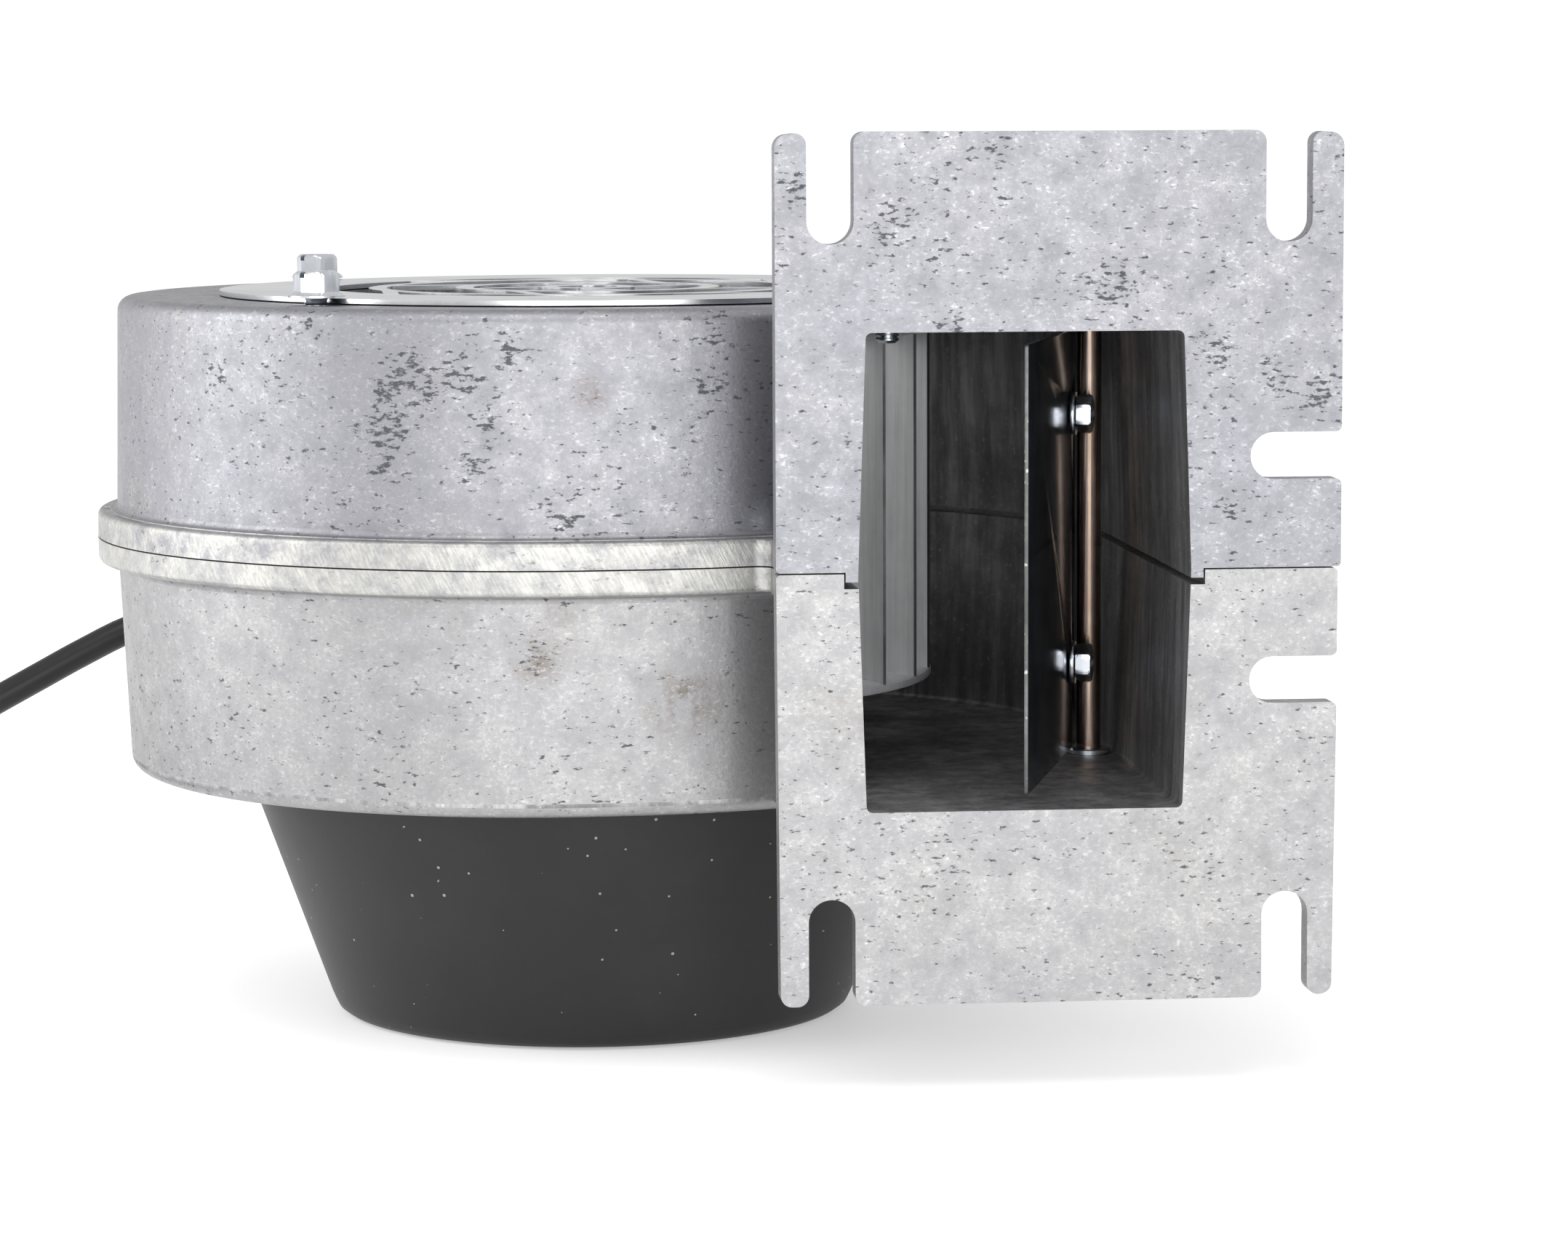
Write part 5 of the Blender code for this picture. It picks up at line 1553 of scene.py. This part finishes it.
class FAN_OT_flap(bpy.types.Operator):
    """Make the flap with its rod, bolts, nuts and bushes"""

    bl_idname = "fan.flap"
    bl_label = "Flap"

    def execute(self, context):
        settings = context.scene.fan_flap
        hinge = Matrix.Translation(HINGE) @ Matrix.Rotation(FLAP_TURN, 4, "Z")
        face = -ROD_RADIUS - GAP
        back = face - settings.thickness
        low, high = FLOOR + settings.clearance, CEILING - settings.clearance * 1.5
        corners = [(-settings.length, low, 0.0008), (-settings.length, high, 0.0008)]
        corners += [(0.0025, high, 0.0008), (0.0025, low, 0.0008)]
        outline = rounded(corners, 5)
        bm = loft([(back, outline), (face, outline)])
        stand = Matrix(((0, 0, 1, 0), (1, 0, 0, 0), (0, 1, 0, 0), (0, 0, 0, 1)))
        plate = object_from("flap_sheet", bm, stand)
        holes = []
        for height in FLAP_BOLT_HEIGHTS:
            rim = circle(0.0023, 32)
            hole = object_from(f"hole_{height}", loft([(-0.004, rim), (0.004, rim)]))
            lie = Matrix.Translation((face, FLAP_BOLT_REACH, height)) @ Matrix.Rotation(math.pi / 2, 4, "Y")
            hole.data.transform(lie)
            holes.append(hole)
        combine(plate, holes, "DIFFERENCE")
        plate.data.transform(hinge)
        plate.data.materials.clear()
        plate.data.materials.append(finish_for("flap_sheet"))
        plate.data.materials.append(finish_for("flap_edge"))
        soften(plate, 0.00018, 2, 40.0, material=1)
        plate.data.transform(hinge.inverted())
        for part in plate.data.polygons:
            if part.normal.y < -0.7 and part.center.y < -settings.length + 0.0012:
                part.material_index = 1
        plate.data.transform(hinge)
        finish_piece(plate, finish_for("flap_sheet"), "flap", ("flap_plate",), 40.0)

        bottom, top = FLOOR - 0.0012, CEILING + 0.0026
        soft = 0.0005
        profile = [(0.0, bottom), (ROD_RADIUS - soft, bottom), (ROD_RADIUS, bottom + soft)]
        profile += [(ROD_RADIUS, top - soft), (ROD_RADIUS - soft, top), (0.0, top)]
        rod = object_from("hinge_rod", turned(profile, 40), Matrix.Translation(HINGE))
        finish_piece(rod, finish_for("hinge_rod_steel"), "flap", ("flap_rod",), 35.0)
        self.bolts(hinge, face, back)
        self.bushes()
        return {"FINISHED"}

    def bolts(self, hinge, face, back):
        """Two bolts through the plate, each with a washer and a chamfered nut."""
        made = []
        across = 0.0070
        corner = across / math.sqrt(3.0)
        for height in FLAP_BOLT_HEIGHTS:
            bolt = hex_screw(f"bolt_{height}", across, 0.0034, 0.0038, 0.0019, 0.0061)
            profile = ring_profile(0.0021, 0.0045, 0.0, WASHER, 0.0002)
            washer = object_from(f"washer_{height}", turned(profile, 48))
            levels = []
            for z, reach in ((0.0, 0.92), (0.0005, 1.0), (0.0025, 1.0), (0.0030, 0.92)):
                levels.append((z, hex_level(across, corner * reach)))
            nut = object_from(f"nut_{height}", loft(levels))
            combine(nut, [post("bore", 0.0020, -0.002, 0.006, (0.0, 0.0), 36)], "DIFFERENCE")
            nut_seat = face + WASHER + 2 * GAP
            stack = ((bolt, back - GAP, -90.0), (washer, face + GAP, 90.0), (nut, nut_seat, 90.0))
            for item, distance, turn in stack:
                shade(item, 30.0)
                lie = Matrix.Translation((distance, FLAP_BOLT_REACH, height))
                item.data.transform(hinge @ lie @ Matrix.Rotation(math.radians(turn), 4, "Y"))
                made.append(item)
        bolts = join("flap_fixings", made)
        nodes = [f"flap_{kind}_{end}" for kind in ("bolt", "washer", "nut") for end in ("upper", "lower")]
        finish_piece(bolts, finish_for("zinc_plated_steel"), "flap", nodes, 30.0)

    def bushes(self):
        """The flanged bushes that the rod turns in."""
        ends = (("lower", FLOOR, UNDERSIDE + GAP, -1), ("upper", CEILING, TOP - GAP, 1))
        for label, wall, out, side in ends:
            bore = ROD_RADIUS + 0.0002
            seat = wall - side * GAP
            lip = seat - side * 0.0010
            profile = [(0.0, out), (0.0040, out), (0.0040, seat), (0.0046, seat)]
            profile += [(0.0046, lip + side * 0.0003), (0.0043, lip), (bore + 0.0003, lip)]
            profile += [(bore, lip + side * 0.0003), (bore, out - side * 0.0008), (0.0, out - side * 0.0008)]
            bush = object_from(f"hinge_bush_{label}", turned(profile, 40), Matrix.Translation(HINGE))
            zinc = finish_for("zinc_plated_steel")
            finish_piece(bush, zinc, "housing", (f"rod_bush_{label}",), 30.0)


# ---------------------------------------------------------------- cover and the rest


class FAN_OT_cover(bpy.types.Operator):
    """Make the black cover of the motor"""

    bl_idname = "fan.cover"
    bl_label = "Motor cover"

    def execute(self, context):
        top = UNDERSIDE - GAP
        slope = (COVER_TOP_RADIUS - COVER_FOOT_RADIUS) / top
        wall = COVER_WALL
        profile = [(0.0, 0.0), (0.0500, 0.0)]
        foot = [(0.0500, 0.0), (0.0528, 0.0004), (0.0542, 0.0014), (0.0550, 0.0030), (0.0556, 0.0045)]
        profile += foot[1:-1]
        profile.append((COVER_FOOT_RADIUS + slope * 0.0045, 0.0045))
        profile += [(COVER_TOP_RADIUS, top - 0.0004), (COVER_TOP_RADIUS - 0.0004, top)]
        profile += [(COVER_TOP_RADIUS - wall, top), (COVER_FOOT_RADIUS + slope * 0.0060 - wall, 0.0060)]
        profile += [(0.0516, 0.0038), (0.0500, wall), (0.0, wall)]
        cover = object_from("motor_hood", turned(profile, 180))
        spots = list(enumerate(around(3, COVER_SCREW_CIRCLE, 90.0)))
        combine(cover, [post(f"boss_{n}", 0.0056, 0.0010, 0.0066, at) for n, at in spots], "UNION")
        tools = [post(f"well_{n}", 0.0042, -0.005, 0.0040, at) for n, at in spots]
        tools += [post(f"hole_{n}", 0.0019, -0.005, 0.0100, at, 24) for n, at in spots]
        rim = circle(0.0061, 48)
        gland = object_from("gland", loft([(0.050, rim), (0.110, rim)]))
        gland.data.transform(
            Matrix.Translation((0.0, 0.0, CABLE_EXIT_HEIGHT))
            @ Matrix.Rotation(CABLE_EXIT_TURN, 4, "Z")
            @ Matrix.Rotation(math.pi / 2, 4, "Y")
        )
        combine(cover, [*tools, gland], "DIFFERENCE")
        cover.data.materials.clear()
        black = finish_for("black_plastic")
        finish_piece(cover, black, "housing", ("motor_cover",), 30.0)
        return {"FINISHED"}


class FAN_OT_inner(bpy.types.Operator):
    """Give the frame's own inner pieces their finishes"""

    bl_idname = "fan.inner"
    bl_label = "Inner pieces"

    def execute(self, context):
        for part in frame["record"]["subparts"]:
            item = frame["nodes"][part["node"]]
            if item.hide_render:
                continue
            made = finish_for(part["material_slot"])
            if item.material_slots:
                for place in item.material_slots:
                    place.link = "OBJECT"
                    place.material = made
        return {"FINISHED"}


# ---------------------------------------------------------------- panel and run


class FAN_PT_panel(bpy.types.Panel):
    """The fan's pieces and their settings"""

    bl_label = "Combustion fan"
    bl_idname = "FAN_PT_panel"
    bl_space_type = "VIEW_3D"
    bl_region_type = "UI"
    bl_category = "Fan"

    def draw(self, context):
        for label, name, operator in PARTS:
            box = self.layout.box()
            box.label(text=label)
            settings = getattr(context.scene, name) if name else None
            if settings:
                for key in settings.bl_rna.properties.keys():
                    if key not in ("rna_type", "name"):
                        box.prop(settings, key)
            box.operator(operator)


PARTS = (
    ("Stage", "fan_stage", "fan.stage"),
    ("Mains lead", "fan_lead", "fan.lead"),
    ("Casting", "fan_casting", "fan.casting"),
    ("Screws", "", "fan.screws"),
    ("Inlet guard", "fan_guard", "fan.guard"),
    ("Drum wheel", "fan_wheel", "fan.wheel"),
    ("Flap", "fan_flap", "fan.flap"),
    ("Motor cover", "", "fan.cover"),
    ("Inner pieces", "", "fan.inner"),
)
SETTINGS = (
    ("fan_stage", FanStageSettings),
    ("fan_lead", FanLeadSettings),
    ("fan_casting", FanCastingSettings),
    ("fan_guard", FanGuardSettings),
    ("fan_wheel", FanWheelSettings),
    ("fan_flap", FanFlapSettings),
)
OPERATORS = (
    FAN_OT_stage,
    FAN_OT_lead,
    FAN_OT_casting,
    FAN_OT_screws,
    FAN_OT_guard,
    FAN_OT_wheel,
    FAN_OT_flap,
    FAN_OT_cover,
    FAN_OT_inner,
)


def register():
    for name, group in SETTINGS:
        bpy.utils.register_class(group)
        setattr(bpy.types.Scene, name, bpy.props.PointerProperty(type=group))
    for operator in OPERATORS:
        bpy.utils.register_class(operator)
    bpy.utils.register_class(FAN_PT_panel)


def unregister():
    bpy.utils.unregister_class(FAN_PT_panel)
    for operator in reversed(OPERATORS):
        bpy.utils.unregister_class(operator)
    for name, group in reversed(SETTINGS):
        delattr(bpy.types.Scene, name)
        bpy.utils.unregister_class(group)


def main():
    register()
    for _, _, operator in PARTS:
        group, name = operator.split(".")
        getattr(getattr(bpy.ops, group), name)()
    bpy.context.view_layer.update()


if __name__ == "__main__":
    main()
